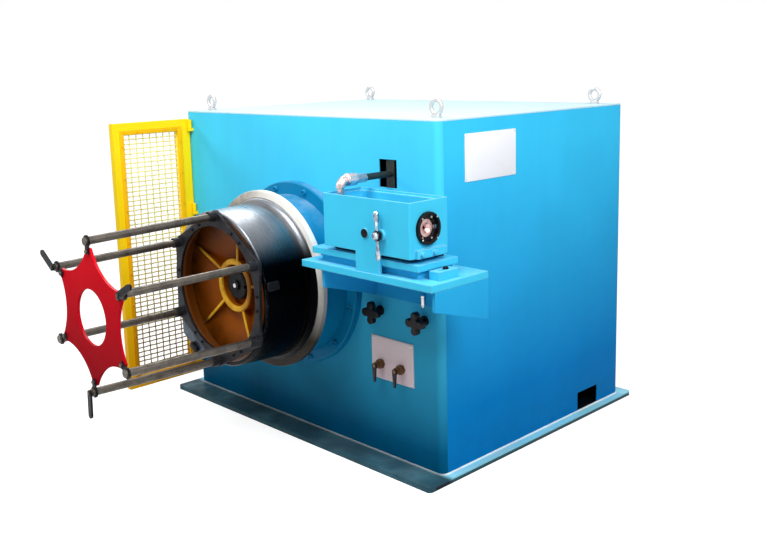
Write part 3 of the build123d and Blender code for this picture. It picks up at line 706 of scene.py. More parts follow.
@dataclass(frozen=True)
class Finishes:
    """Every finish on the machine, built once."""

    # Painted shade: darker towards the bottom, and near-black inside the housing.
    blue: Paint = Paint(
        "sky blue enamel", (60, 200, 250), variation=0.26, sheen=0.02, gloss=0.0, shaded_low_colour=(0, 124, 196),
        low_height=0.25, hollow=True)
    # A darker copy of the blue for the front wall, painted shade: much darker below the shelf and drum, and near-black
    # inside the housing.
    front_blue: Paint = Paint(
        "front shaded sky blue enamel", (74, 208, 250), variation=0.3, sheen=0.02, gloss=0.0, shaded_low_colour=(0, 92, 134),
        high_height=0.78, hollow=True)
    # Painted light and shade: paler than the housing's blue for the light on the foot's top, with painted shade in
    # front of the housing and on its front edge face.
    base_blue: Paint = Paint(
        "foot blue enamel", (140, 224, 246), variation=0.4, dust=0.4, dirt=0.05, hollow=True, front_shade=0.92,
        dark_edge=0.9)
    # Painted highlight: a near-white bead in patches for the glints along the foot's weld, with painted shade in front
    # of the housing.
    weld_blue: Paint = Paint("weld highlight enamel", (244, 252, 255), variation=1.1, gloss=0.3, dirt=0.1, front_shade=0.85)
    # A darker copy of the blue for the bearing flange, its cover and screws: painted shade, a little darker towards the
    # bottom.
    deep_blue: Paint = Paint(
        "shaded deep blue enamel", (16, 130, 176), shaded_low_colour=(6, 124, 170), low_height=0.3, high_height=1.15)
    # Painted highlight: the pale blue on its edges stands for lit edges; the slide's enamel copies it.
    light_blue: Paint = Paint(
        "light blue enamel", (66, 200, 240), variation=0.24, wear=0.6, wear_radius=0.005,
        wear_and_highlight_colour=(190, 232, 244))
    slide_blue: Paint = replace(light_blue, name="slide enamel", gap=(0.9275, 0.9455))
    # Painted light: a pale copy of the blue for the brightly lit top, with dust.
    top_blue: Paint = Paint("pale lit blue enamel", (196, 230, 244), roughness=0.5, dust=0.6, hollow=True)
    # Painted shade: turns orange towards the bottom.
    yellow: Paint = Paint(
        "safety yellow enamel", (255, 220, 24), variation=0.25, wear_and_highlight_colour=(176, 132, 30), wear=0.3, dirt=0.2,
        shaded_low_colour=(238, 172, 8), low_height=0.2, high_height=1.2)
    # A darker orange copy of the yellow, painted shade for the frame's shaded inner faces, also darker towards the
    # bottom.
    retainer_yellow: Paint = Paint(
        "shaded retaining strip enamel", (250, 184, 14), variation=0.25, wear_and_highlight_colour=(150, 104, 20), wear=0.3,
        shaded_low_colour=(214, 140, 6), low_height=0.2, high_height=1.2)
    # Painted light and shade: pale at the top, darker brown towards the bottom.
    wire_yellow: Paint = Paint(
        "wire enamel", (255, 240, 150), variation=0.5, wear_and_highlight_colour=(120, 96, 40), wear=0.3,
        shaded_low_colour=(150, 118, 50), low_height=0.35, high_height=1.15)
    # Painted shade: darker red towards the bottom.
    red: Paint = Paint(
        "signal red enamel", (236, 18, 36), roughness=0.5, variation=0.5, wear_and_highlight_colour=(84, 8, 18), wear=0.6,
        sheen=0.02, gloss=0.0, shaded_low_colour=(150, 0, 20), low_height=0.45, high_height=0.95)
    # Painted shade: darker towards the bottom, and brown patches darken its left side.
    cream: Paint = Paint(
        "cream enamel", (255, 252, 244), roughness=0.3, variation=0.3, wear_and_highlight_colour=(130, 108, 84), wear=0.5,
        left_shade=0.85, shaded_low_colour=(58, 50, 42), low_height=0.5, high_height=0.84)
    plate_white: Paint = Paint(
        "blank white plate", (238, 240, 246), roughness=0.3, variation=0.06, wear=0.25, dirt=0.0, dust=0.0)
    # Painted light: lighter towards its top, and the near-white on its edges is a painted highlight.
    plate_grey: Paint = Paint(
        "pinkish bare plate", (250, 230, 230), roughness=0.36, variation=0.35, wear_and_highlight_colour=(240, 248, 255),
        wear=1.0, wear_radius=0.010, dirt=0.1, dust=0.0, shaded_low_colour=(222, 200, 208), low_height=0.34,
        high_height=0.53)
    amber: WebPaint = WebPaint()
    drum_steel: TurnedSteel = TurnedSteel("turned drum steel")
    dark_steel: WorkedMetal = WorkedMetal(
        "dark bar steel", (98, 91, 84), (26, 22, 22), metallic=0.8, roughness=0.36, wear_and_highlight_colour=(150, 143, 134),
        sheen=0.2)
    ring_steel: WorkedMetal = WorkedMetal(
        "ring plate steel", (40, 40, 44), (18, 20, 24), metallic=0.7, roughness=0.45,
        wear_and_highlight_colour=(104, 106, 110), sheen=0.2)
    black_oxide: WorkedMetal = WorkedMetal(
        "blackened steel", (20, 20, 24), (9, 9, 11), metallic=0.5, roughness=0.42, wear=0.4,
        wear_and_highlight_colour=(96, 98, 102), sheen=0.15)
    grey_steel: WorkedMetal = WorkedMetal("machined grey steel", (142, 146, 152), (96, 98, 104))
    gripper_grey: WorkedMetal = WorkedMetal("blue grey plate", (70, 84, 96), (34, 42, 50), metallic=0.5, sheen=0.2)
    plated: WorkedMetal = WorkedMetal("plated steel", (216, 216, 216), (170, 170, 172), roughness=0.26, skin=0.3)
    chrome: WorkedMetal = WorkedMetal(
        "bright chrome", (214, 222, 232), (58, 84, 108), metallic=1.0, roughness=0.14, skin=0.85,
        grain_scale=110.0, pitted=0.05)
    # Partly painted reflection: the pinkish tint and dark reddish skin patches stand for coloured reflections on the
    # bright union as well as its tarnish.
    silver: WorkedMetal = WorkedMetal(
        "silvered union", (240, 220, 220), (110, 76, 82), roughness=0.2, skin=0.6, grain_scale=70.0)
    brass: WorkedMetal = WorkedMetal(
        "dull brass", (118, 88, 60), (60, 42, 30), metallic=0.95, roughness=0.34, wear_and_highlight_colour=(190, 160, 110))
    dark_pipe: WorkedMetal = WorkedMetal(
        "dark pipe", (44, 52, 50), (16, 20, 20), metallic=0.4, roughness=0.4, sheen=0.3, wear_and_highlight_colour=(90, 96, 96))
    die_steel: WorkedMetal = WorkedMetal(
        "die case steel", (222, 184, 182), (120, 78, 72), roughness=0.3, skin=0.6)
    black_plastic: Moulding = Moulding("black moulding")

    def build(self, effects: Effects) -> dict[str, bpy.types.Material]:
        """Builds every material, by the names of the fields here."""
        return {name: getattr(self, name).material(effects) for name in self.__dataclass_fields__}


class GeometryTrees:
    """The geometry node trees for what repeats or follows a path."""

    def __init__(self) -> None:
        """Builds the four trees."""
        self.fasteners = self._fasteners()
        self.ribs = self._ribs()
        self.bead = self._bead()
        self.woven = self._woven()

    @staticmethod
    def _start(name: str, inputs: Values) -> Group:
        """Starts a tree that takes geometry and a finish besides its own inputs."""
        sockets = {"Geometry": "Geometry", **inputs, "Finish": "Material"}
        return Group("GeometryNodeTree", name, sockets, {"Geometry": "Geometry"})

    @staticmethod
    def _end(group: Group, shape: Wire) -> bpy.types.NodeTree:
        """Ends a tree with Realize Instances and Set Material.

        Args:
            group: The tree.
            shape: The geometry so far.

        Returns:
            The finished tree.
        """
        real = group.out("GeometryNodeRealizeInstances", {0: shape})
        coated = group.out("GeometryNodeSetMaterial", {"Geometry": real, "Material": group.given("Finish")})
        return group.give(Geometry=coated)

    @staticmethod
    def _instances(group: Group, points: Wire, instance: Wire, inputs: Values | None = None) -> Wire:
        """Puts an instance on every point."""
        given = {"Points": points, "Instance": instance, **(inputs or {})}
        return group.out("GeometryNodeInstanceOnPoints", given)

    @staticmethod
    def _tube(group: Group, curve: Wire, sides: Any, radius: Wire) -> Wire:
        """Sweeps a circle along a curve."""
        outline = group.out("GeometryNodeCurvePrimitiveCircle", {"Resolution": sides, "Radius": radius})
        return group.out("GeometryNodeCurveToMesh", {"Curve": curve, "Profile Curve": outline, "Fill Caps": True})

    @staticmethod
    def _pushed(group: Group, mesh: Wire, reach: Any, scale: Any = None,
                chosen: Wire | None = None) -> tuple[Wire, Wire]:
        """Pushes a mesh's top upwards and draws it in.

        Args:
            group: The tree.
            mesh: The mesh.
            reach: How far its faces go.
            scale: The scale of the new top, if it changes.
            chosen: Which faces go, if not all.

        Returns:
            The mesh, and which faces are its new top.
        """
        inputs = {"Mesh": mesh, "Offset": group.join(z=1.0), "Offset Scale": reach, "Individual": False}
        if chosen:
            inputs["Selection"] = chosen
        made = group.add("GeometryNodeExtrudeMesh", inputs, mode="FACES")
        mesh, top = (Wire(group, made.outputs[name]) for name in ("Mesh", "Top"))
        if scale is not None:
            mesh = group.out("GeometryNodeScaleElements", {"Geometry": mesh, "Selection": top, "Scale": scale})
        return mesh, top

    def _fasteners(self) -> bpy.types.NodeTree:
        """Puts a chamfered screw head, with a recess, on every point along its facing.

        Returns:
            The tree.
        """
        group = self._start("fasteners", {
            "Sides": 20, "Head Radius": 0.008, "Head Height": 0.008, "Recess Share": 0.5, "Recess Depth": 0.004,
            "Seed": 3})
        height = group.given("Head Height")
        circle = {"Vertices": group.given("Sides"), "Radius": group.given("Head Radius")}
        ring = group.out("GeometryNodeMeshCircle", circle, fill_type="NGON")
        body, top = self._pushed(group, ring, height * 0.82)
        shoulder, top = self._pushed(group, body, height * 0.18, 0.86, top)
        lip, top = self._pushed(group, shoulder, 0.0, group.given("Recess Share"), top)
        recess, _ = self._pushed(group, lip, group.given("Recess Depth") * -1.0, chosen=top)
        whole = group.add("GeometryNodeJoinGeometry")
        group.feed(whole.inputs[0], recess)
        group.feed(whole.inputs[0], group.out("GeometryNodeFlipFaces", {"Mesh": ring}))
        joined = {"Geometry": Wire(group, whole.outputs[0]), "Distance": WELD_DISTANCE}
        head = group.out("GeometryNodeMergeByDistance", joined)
        facing = group.out(
            "GeometryNodeInputNamedAttribute", {"Name": "facing"}, "Attribute", data_type="FLOAT_VECTOR")
        aimed = group.out("FunctionNodeAlignRotationToVector", {"Vector": facing}, axis="Z")
        chance = group.out("FunctionNodeRandomValue", {"Seed": group.given("Seed")}, 1, data_type="FLOAT")
        spin = group.out("FunctionNodeAxisAngleToRotation", {"Axis": UP, "Angle": chance * math.tau})
        turned = group.out("FunctionNodeRotateRotation", {0: aimed, 1: spin}, rotation_space="LOCAL")
        return self._end(group, self._instances(group, group.given("Geometry"), head, {"Rotation": turned}))

    def _ribs(self) -> bpy.types.NodeTree:
        """Sets copies of one rib evenly round the drum's axis.

        Returns:
            The tree.
        """
        group = self._start("ribs", {"Count": 5, "Phase": 0.0, "Axis Height": 0.7})
        count, hub = group.given("Count"), group.join(z=group.given("Axis Height"))
        line = {"Count": count, "Start Location": hub, "Offset": (0.0, 0.0, 0.0)}
        points = group.out("GeometryNodeMeshLine", line, mode="OFFSET")
        turn = group.out("GeometryNodeInputIndex") / count * math.tau + group.given("Phase")
        facing = {"Rotation": group.join(y=turn * -1.0)}
        return self._end(group, self._instances(group, points, group.given("Geometry"), facing))

    def _bead(self) -> bpy.types.NodeTree:
        """Runs a rippled weld bead along a path of edges.

        Returns:
            The tree.
        """
        group = self._start("weld bead", {"Bead Radius": 0.004, "Step": 0.006, "Ripple": 0.0016, "Sides": 8})
        line = group.out("GeometryNodeMeshToCurve", {"Mesh": group.given("Geometry")})
        even = group.out("GeometryNodeResampleCurve", {"Curve": line, "Length": group.given("Step")}, mode="LENGTH")
        tube = self._tube(group, even, group.given("Sides"), group.given("Bead Radius"))
        ripple = group.out("ShaderNodeTexNoise", {"Scale": 130.0, "Detail": 1.0}, 1)
        centred = group.out("ShaderNodeVectorMath", {0: ripple, 1: (0.5, 0.5, 0.5)}, operation="SUBTRACT")
        shift = group.out("ShaderNodeVectorMath", {0: centred, "Scale": group.given("Ripple")}, operation="SCALE")
        return self._end(group, group.out("GeometryNodeSetPosition", {"Geometry": tube, "Offset": shift}))

    def _woven(self) -> bpy.types.NodeTree:
        """Weaves crimped wires in a plane that faces X.

        Returns:
            The tree.
        """
        group = self._start("woven wire", {
            "Low Corner": (0.0, 0.0, 0.0), "Columns": 10, "Rows": 40, "Column Pitch": 0.025, "Row Pitch": 0.025,
            "Width": 0.25, "Height": 1.0, "Wire Radius": 0.0018, "Crimp": 0.0019})
        _, y, z = group.split(group.out("GeometryNodeInputPosition"))
        wave_y, wave_z = (group.math("COSINE", spot * math.pi / group.given(pitch))
                          for spot, pitch in ((y, "Column Pitch"), (z, "Row Pitch")))
        wave = wave_y * wave_z * group.given("Crimp")
        whole = group.add("GeometryNodeJoinGeometry")
        runs = (
            ("Columns", "Column Pitch", "y", "Height", "z", 1.0, "Row Pitch"),
            ("Rows", "Row Pitch", "z", "Width", "y", -1.0, "Column Pitch"),
        )
        for count, pitch, across, reach, along, side, crimp_pitch in runs:
            step = {"Count": group.given(count), "Offset": group.join(**{across: group.given(pitch)})}
            starts = group.out("GeometryNodeMeshLine", step, mode="OFFSET")
            far = group.join(**{along: group.given(reach)})
            wire = group.out("GeometryNodeCurvePrimitiveLine", {"End": far})
            real = group.out("GeometryNodeRealizeInstances", {0: self._instances(group, starts, wire)})
            half_pitch = group.given(crimp_pitch) * 0.5
            even = group.out("GeometryNodeResampleCurve", {"Curve": real, "Length": half_pitch}, mode="LENGTH")
            push = {"Geometry": even, "Offset": group.join(x=wave * side)}
            bent = group.out("GeometryNodeSetPosition", push)
            group.feed(whole.inputs[0], self._tube(group, bent, 6, group.given("Wire Radius")))
        moved = {"Geometry": Wire(group, whole.outputs[0]), "Translation": group.given("Low Corner")}
        return self._end(group, group.out("GeometryNodeTransform", moved))


def spots_mesh(name: str, spots: Iterable[tuple[Point, Point]]) -> bpy.types.Mesh:
    """Makes a mesh of loose points, each with the way that it faces.

    Args:
        name: The mesh's name.
        spots: Each point and its facing.

    Returns:
        The mesh.
    """
    listed = list(spots)
    mesh = bpy.data.meshes.new(name)
    mesh.from_pydata([place for place, _ in listed], [], [])
    facing = mesh.attributes.new("facing", "FLOAT_VECTOR", "POINT")
    facing.data.foreach_set("vector", [part for _, way in listed for part in way])
    return mesh


def made_mesh(name: str, shape: bmesh.types.BMesh) -> bpy.types.Mesh:
    """Makes a mesh of a shape and frees the shape.

    Args:
        name: The mesh's name.
        shape: The shape.

    Returns:
        The mesh.
    """
    mesh = bpy.data.meshes.new(name)
    shape.to_mesh(mesh)
    shape.free()
    return mesh


def turned_mesh(name: str, profile: Sequence[Flat], centre: Point, axis: Point, steps: int) -> bpy.types.Mesh:
    """Turns an outline round an axis.

    Args:
        name: The mesh's name.
        profile: Points of reach along the axis and radius, closed by the axis or by itself.
        centre: Where the reach is 0.
        axis: The way the axis points.
        steps: How many faces go round.

    Returns:
        A closed mesh with its faces outwards.
    """
    shape = bmesh.new()
    along = Vector(axis).normalized()
    side = along.orthogonal().normalized()
    across = along.cross(side)
    turns = [2 * math.pi * step / steps for step in range(steps)]
    rings = []
    for reach, radius in profile:
        middle = Vector(centre) + along * reach
        spokes = [side * math.cos(turn) + across * math.sin(turn) for turn in turns] if radius else [Vector()]
        rings.append([shape.verts.new(middle + spoke * radius) for spoke in spokes])
    open_outline = profile[0][1] == 0 and profile[-1][1] == 0
    pairs = list(zip(rings, rings[1:])) + ([] if open_outline else [(rings[-1], rings[0])])
    for first, second in pairs:
        for step in range(steps):
            after = (step + 1) % steps
            corners = [first[step % len(first)], second[step % len(second)],
                       second[after % len(second)], first[after % len(first)]]
            unique = list(dict.fromkeys(corners))
            if len(unique) > 2:
                shape.faces.new(unique)
    bmesh.ops.recalc_face_normals(shape, faces=shape.faces)
    return made_mesh(name, shape)


def slab_mesh(name: str, outline: Sequence[Flat], place: Matrix, thickness: float, edge: float) -> bpy.types.Mesh:
    """Makes a flat plate with softened edges.

    Args:
        name: The mesh's name.
        outline: The plate's corners in its own plane.
        place: Where the plane stands.
        thickness: How thick the plate is.
        edge: How far its edges are rounded.

    Returns:
        The mesh.
    """
    shape = bmesh.new()
    face = shape.faces.new([shape.verts.new((x, y, 0)) for x, y in outline])
    lifted = bmesh.ops.extrude_face_region(shape, geom=[face])["geom"]
    top = [item for item in lifted if isinstance(item, bmesh.types.BMVert)]
    bmesh.ops.translate(shape, vec=(0, 0, thickness), verts=top)
    bmesh.ops.recalc_face_normals(shape, faces=shape.faces)
    bmesh.ops.bevel(shape, geom=list(shape.edges), offset=edge, segments=2, profile=0.5, affect="EDGES")
    bmesh.ops.transform(shape, matrix=place, verts=shape.verts)
    bmesh.ops.recalc_face_normals(shape, faces=shape.faces)
    return made_mesh(name, shape)


def rounded_outline(width: float, height: float, radius: float, steps: int = 4) -> list[Flat]:
    """Gives the corners of a rectangle with rounded corners.

    Args:
        width: Its width.
        height: Its height.
        radius: Its corners' radius.
        steps: How many edges each corner has.

    Returns:
        The corners, anticlockwise.
    """
    points = []
    for quarter, (side_x, side_y) in enumerate(((1, 1), (-1, 1), (-1, -1), (1, -1))):
        middle_x, middle_y = side_x * (width / 2 - radius), side_y * (height / 2 - radius)
        for step in range(steps + 1):
            turn = math.pi / 2 * (quarter + step / steps)
            points.append((middle_x + radius * math.cos(turn), middle_y + radius * math.sin(turn)))
    return points


def standing(origin: Point, *axes: Sequence[float]) -> Matrix:
    """Gives the place of a plane.

    Args:
        origin: Where the plane's origin stands.
        *axes: The ways of its two sides and of its thickness.

    Returns:
        The place.
    """
    return Matrix.Translation(origin) @ Matrix(axes).transposed().to_4x4()


def round_drum(radius: float, degrees: float, reach: float) -> Point:
    """Gives a point round the drum's axis.

    Args:
        radius: How far it is from the axis.
        degrees: Its angle up from +X, seen from the drum's front.
        reach: How far in front of the housing's middle it is.

    Returns:
        The point.
    """
    turn = math.radians(degrees)
    return (radius * math.cos(turn), -reach, DRUM_AXIS_HEIGHT + radius * math.sin(turn))


@dataclass(frozen=True)
class Head:
    """A screw or rivet head with its recess."""

    sides: int
    radius: float
    height: float
    recess_share: float
    recess_depth: float


class Workshop:
    """Holds the materials and turns meshes into finished pieces."""

    def __init__(self, materials: dict[str, bpy.types.Material]) -> None:
        """Keeps the materials and starts the geometry trees."""
        self.materials = materials
        self.trees = GeometryTrees()

    def dress(self, **nodes: str) -> None:
        """Gives CAD nodes their finishes.

        Args:
            **nodes: The names of the nodes that have each finish.
        """
        for finish, names in nodes.items():
            for name in names.split():
                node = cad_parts[name]
                if not node.material_slots:
                    node.data.materials.append(self.materials[finish])
                for holder in node.material_slots:
                    holder.material = self.materials[finish]

    def piece(self, mesh: bpy.types.Mesh, name: str, body: Body, finish: str) -> bpy.types.Object:
        """Makes a mesh a piece that rides on a body.

        Args:
            mesh: The mesh, in place.
            name: The piece's name.
            body: The body that it rides on.
            finish: The finish's name, which also says its material slot.

        Returns:
            The piece.
        """
        mesh.materials.clear()
        mesh.materials.append(self.materials[finish])
        mesh.shade_smooth()
        mesh.set_sharp_from_angle(angle=SMOOTH_ANGLE)
        made = link_object(name, mesh)
        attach(made, body.value)
        log.info("%s: %d faces on %s", name, len(mesh.polygons), body.value)
        return made

    def turned(self, name: str, profile: Sequence[Flat], centre: Point, axis: Point, body: Body, finish: str,
               steps: int = 32) -> bpy.types.Object:
        """Makes a turned piece."""
        return self.piece(turned_mesh(name, profile, centre, axis, steps), name, body, finish)

    def slab(self, name: str, outline: Sequence[Flat], place: Matrix, sizes: Flat, body: Body,
             finish: str) -> bpy.types.Object:
        """Makes a flat piece."""
        return self.piece(slab_mesh(name, outline, place, *sizes), name, body, finish)

    def grown(self, name: str, tree: bpy.types.NodeTree, values: Values, body: Body, finish: str,
              seeds: bpy.types.Mesh | None = None) -> bpy.types.Object:
        """Runs a geometry tree and keeps its result as a plain piece.

        Args:
            name: The piece's name.
            tree: The geometry tree.
            values: Its inputs, by name.
            body: The body that it rides on.
            finish: The finish's name.
            seeds: The points or path that the tree works on.

        Returns:
            The piece.
        """
        holder = link_object(name + "_seed", seeds or bpy.data.meshes.new(name + "_seed"))
        modifier = holder.modifiers.new("grown", "NODES")
        modifier.node_group = tree
        sockets = {item.name: item.identifier for item in tree.interface.items_tree if item.in_out == "INPUT"}
        for key, value in {**values, "Finish": self.materials[finish]}.items():
            modifier[sockets[key]] = value
        graph = bpy.context.evaluated_depsgraph_get()
        mesh = bpy.data.meshes.new_from_object(holder.evaluated_get(graph))
        holder.modifiers.remove(modifier)
        bpy.data.objects.remove(holder)
        mesh.name = name
        return self.piece(mesh, name, body, finish)

    def screws(self, name: str, head: Head, places: Iterable[Point], facing: Point, body: Body, finish: str) -> None:
        """Sets one kind of screw at several places.

        Args:
            name: The piece's name.
            head: The screws' head.
            places: Where they are.
            facing: The way they face.
            body: The body that they ride on.
            finish: The finish's name.
        """
        values = {"Sides": head.sides, "Head Radius": head.radius, "Head Height": head.height,
                  "Recess Share": head.recess_share, "Recess Depth": head.recess_depth}
        seeds = spots_mesh(name, ((place, facing) for place in places))
        self.grown(name, self.trees.fasteners, values, body, finish, seeds)


@dataclass
class Studio:
    """The camera, the lamps and the pale floor."""

    camera_place: Point = (3.1269, -3.1546, 1.6199)
    yaw: float = 45.72
    pitch: float = 9.71
    roll: float = -1.43
    focal_pixels: float = 933.5
    image_width: int = 767
    optical_centre_rise: float = 59.0
    floor_reach: float = 30.0
    surroundings_light: float = 0.2
    sensor_width: float = 36.0

    def build(self) -> None:
        """Makes everything in the studio."""
        self._camera()
        self._lamps()
        self._floor()
        self._world()
        bpy.context.scene.view_settings.view_transform = "Standard"

    def _camera(self) -> None:
        """Sets the camera at the photograph's viewing angle."""
        yaw, pitch, roll = (math.radians(value) for value in (self.yaw, self.pitch, self.roll))
        forward = Vector((-math.sin(yaw) * math.cos(pitch), math.cos(yaw) * math.cos(pitch), -math.sin(pitch)))
        right = Vector((math.cos(yaw), math.sin(yaw), 0))
        above = right.cross(forward)
        tilted = math.cos(roll) * right + math.sin(roll) * above
        upright = -math.sin(roll) * right + math.cos(roll) * above
        data = bpy.data.cameras.new("camera")
        data.sensor_width = self.sensor_width
        data.lens = self.focal_pixels * self.sensor_width / self.image_width
        data.shift_y = -self.optical_centre_rise / self.image_width
        camera = link_object("camera", data)
        camera.matrix_world = standing(self.camera_place, tilted, upright, -forward)
        bpy.context.scene.camera = camera

    def _lamps(self) -> None:
        """Hangs the soft lamps."""
        lamps = (
            ("overhead", (0.5, -2.3, 3.6), (0.1, -0.6, 1.1), 1.8, 92.0),
            ("right", (3.6, -1.3, 3.4), (0.8, -0.3, 0.9), 2.0, 135.0),
            ("left front", (-3.6, -3.4, 3.2), (0.0, -0.9, 0.9), 1.0, 50.0),
            ("back window", (-2.6, 1.2, 4.2), (0.0, -0.9, 0.9), 1.4, 80.0),
        )
        for name, place, target, size, power in lamps:
            data = bpy.data.lights.new(name, "AREA")
            data.size, data.energy = size, power
            lamp = link_object(name, data)
            lamp.location = place
            lamp.rotation_mode = "QUATERNION"
            lamp.rotation_quaternion = (Vector(target) - Vector(place)).to_track_quat("-Z", "Y")

    def _floor(self) -> None:
        """Lays the pale floor."""
        mesh = bpy.data.meshes.new("floor")
        corners = [(x * self.floor_reach, y * self.floor_reach, 0) for x, y in ((-1, -1), (1, -1), (1, 1), (-1, 1))]
        mesh.from_pydata(corners, [], [(0, 1, 2, 3)])
        floor = link_object("floor", mesh)
        coat = Coat("pale floor")
        shades = (0.50, 0.50, 0.50, 1.0), (0.54, 0.54, 0.54, 1.0)
        cloud = coat.mix(coat.place.noise(1.5, 4.0, 0.5), *shades)
        strength = coat.length(coat.across, coat.deep).ramp(1.8, 7.0, 0.74, 0.94)
        glow = coat.out("ShaderNodeEmission", {"Color": WHITE, "Strength": self._seen(coat, strength)})
        shader = Wire(coat, coat.shader.outputs[0])
        coat.feed(coat.output.inputs["Surface"], coat.out("ShaderNodeAddShader", {0: shader, 1: glow}))
        mesh.materials.append(
            coat.finished({"Base Color": cloud, "Roughness": 0.8, "Specular IOR Level": 0.1}))

    @staticmethod
    def _seen(graph: Graph, strength: Any) -> Wire:
        """Gives a strength that only seen, glossy and transmitted rays meet.

        Args:
            graph: The tree's graph.
            strength: The strength for those rays.

        Returns:
            The strength's wire.
        """
        path = graph.add("ShaderNodeLightPath").outputs
        camera, glossy, through = (
            Wire(graph, path[f"Is {kind} Ray"]) for kind in ("Camera", "Glossy", "Transmission"))
        return graph.math("ADD", camera + glossy, through, clamp=True) * strength

    def _world(self) -> None:
        """Makes the white surroundings, dimmer as light than as background."""
        world = bpy.data.worlds.new("surroundings")
        bpy.context.scene.world = world
        world.use_nodes = True
        world.node_tree.nodes.clear()
        graph = Graph(world.node_tree)
        fill = self.surroundings_light
        strength = self._seen(graph, 1.0 - fill) + fill
        back = graph.out("ShaderNodeBackground", {"Color": WHITE, "Strength": strength})
        graph.add("ShaderNodeOutputWorld", {"Surface": back})


@dataclass
class SubAssembly:
    """A group of pieces that belong together."""

    shop: Workshop

    def build(self) -> None:
        """Makes the pieces and finishes."""
        raise NotImplementedError


@dataclass
class Housing(SubAssembly):
    """The bent sheet housing on its base plate, with a bare plate, welds and lifting eyes."""

    plate_width: float = 0.312
    plate_height: float = 0.184
    plate_thickness: float = 0.002
    plate_centre_y: float = -0.326
    plate_centre_z: float = 1.248
    rivet: Head = Head(14, 0.0032, 0.0014, 0.3, 0.0004)
    rivet_inset: float = 0.009
    foot: float = 0.020
    bead_radius: float = 0.005
    bead_step: float = 0.008

    def build(self) -> None:
        """Makes the housing's pieces and finishes."""
        self.shop.dress(
            blue="back_panel left_panel right_panel", front_blue="front_panel", base_blue="base_plate",
            top_blue="top_panel", plated="lifting_eyes")
        self._plate()
        self._foot_weld()

    def _plate(self) -> None:
        """Fixes the bare plate to the right wall with a rivet in each corner."""
        place = standing((HOUSING_HALF_WIDTH, self.plate_centre_y, self.plate_centre_z), (0, 1, 0), UP, RIGHT)
        outline = rounded_outline(self.plate_width, self.plate_height, 0.004)
        self.shop.slab("blank_plate", outline, place, (self.plate_thickness, 0.0004), Body.FRAME, "plate_white")
        half_y, half_z = self.plate_width / 2 - self.rivet_inset, self.plate_height / 2 - self.rivet_inset
        rivets = [(HOUSING_HALF_WIDTH + self.plate_thickness, self.plate_centre_y + side_y * half_y,
                   self.plate_centre_z + side_z * half_z) for side_y in (-1, 1) for side_z in (-1, 1)]
        self.shop.screws("plate_rivets", self.rivet, rivets, RIGHT, Body.FRAME, "plated")

    def _foot_weld(self) -> None:
        """Welds the housing's foot to the base plate all round."""
        outline = rounded_outline(2 * HOUSING_HALF_WIDTH, 2 * HOUSING_HALF_DEPTH, HOUSING_CORNER, 5)
        path = bpy.data.meshes.new("foot_weld")
        edges = [(index, (index + 1) % len(outline)) for index in range(len(outline))]
        path.from_pydata([(x, y, self.foot) for x, y in outline], edges, [])
        values = {"Bead Radius": self.bead_radius, "Step": self.bead_step}
        self.shop.grown("foot_weld", self.shop.trees.bead, values, Body.FRAME, "weld_blue", path)


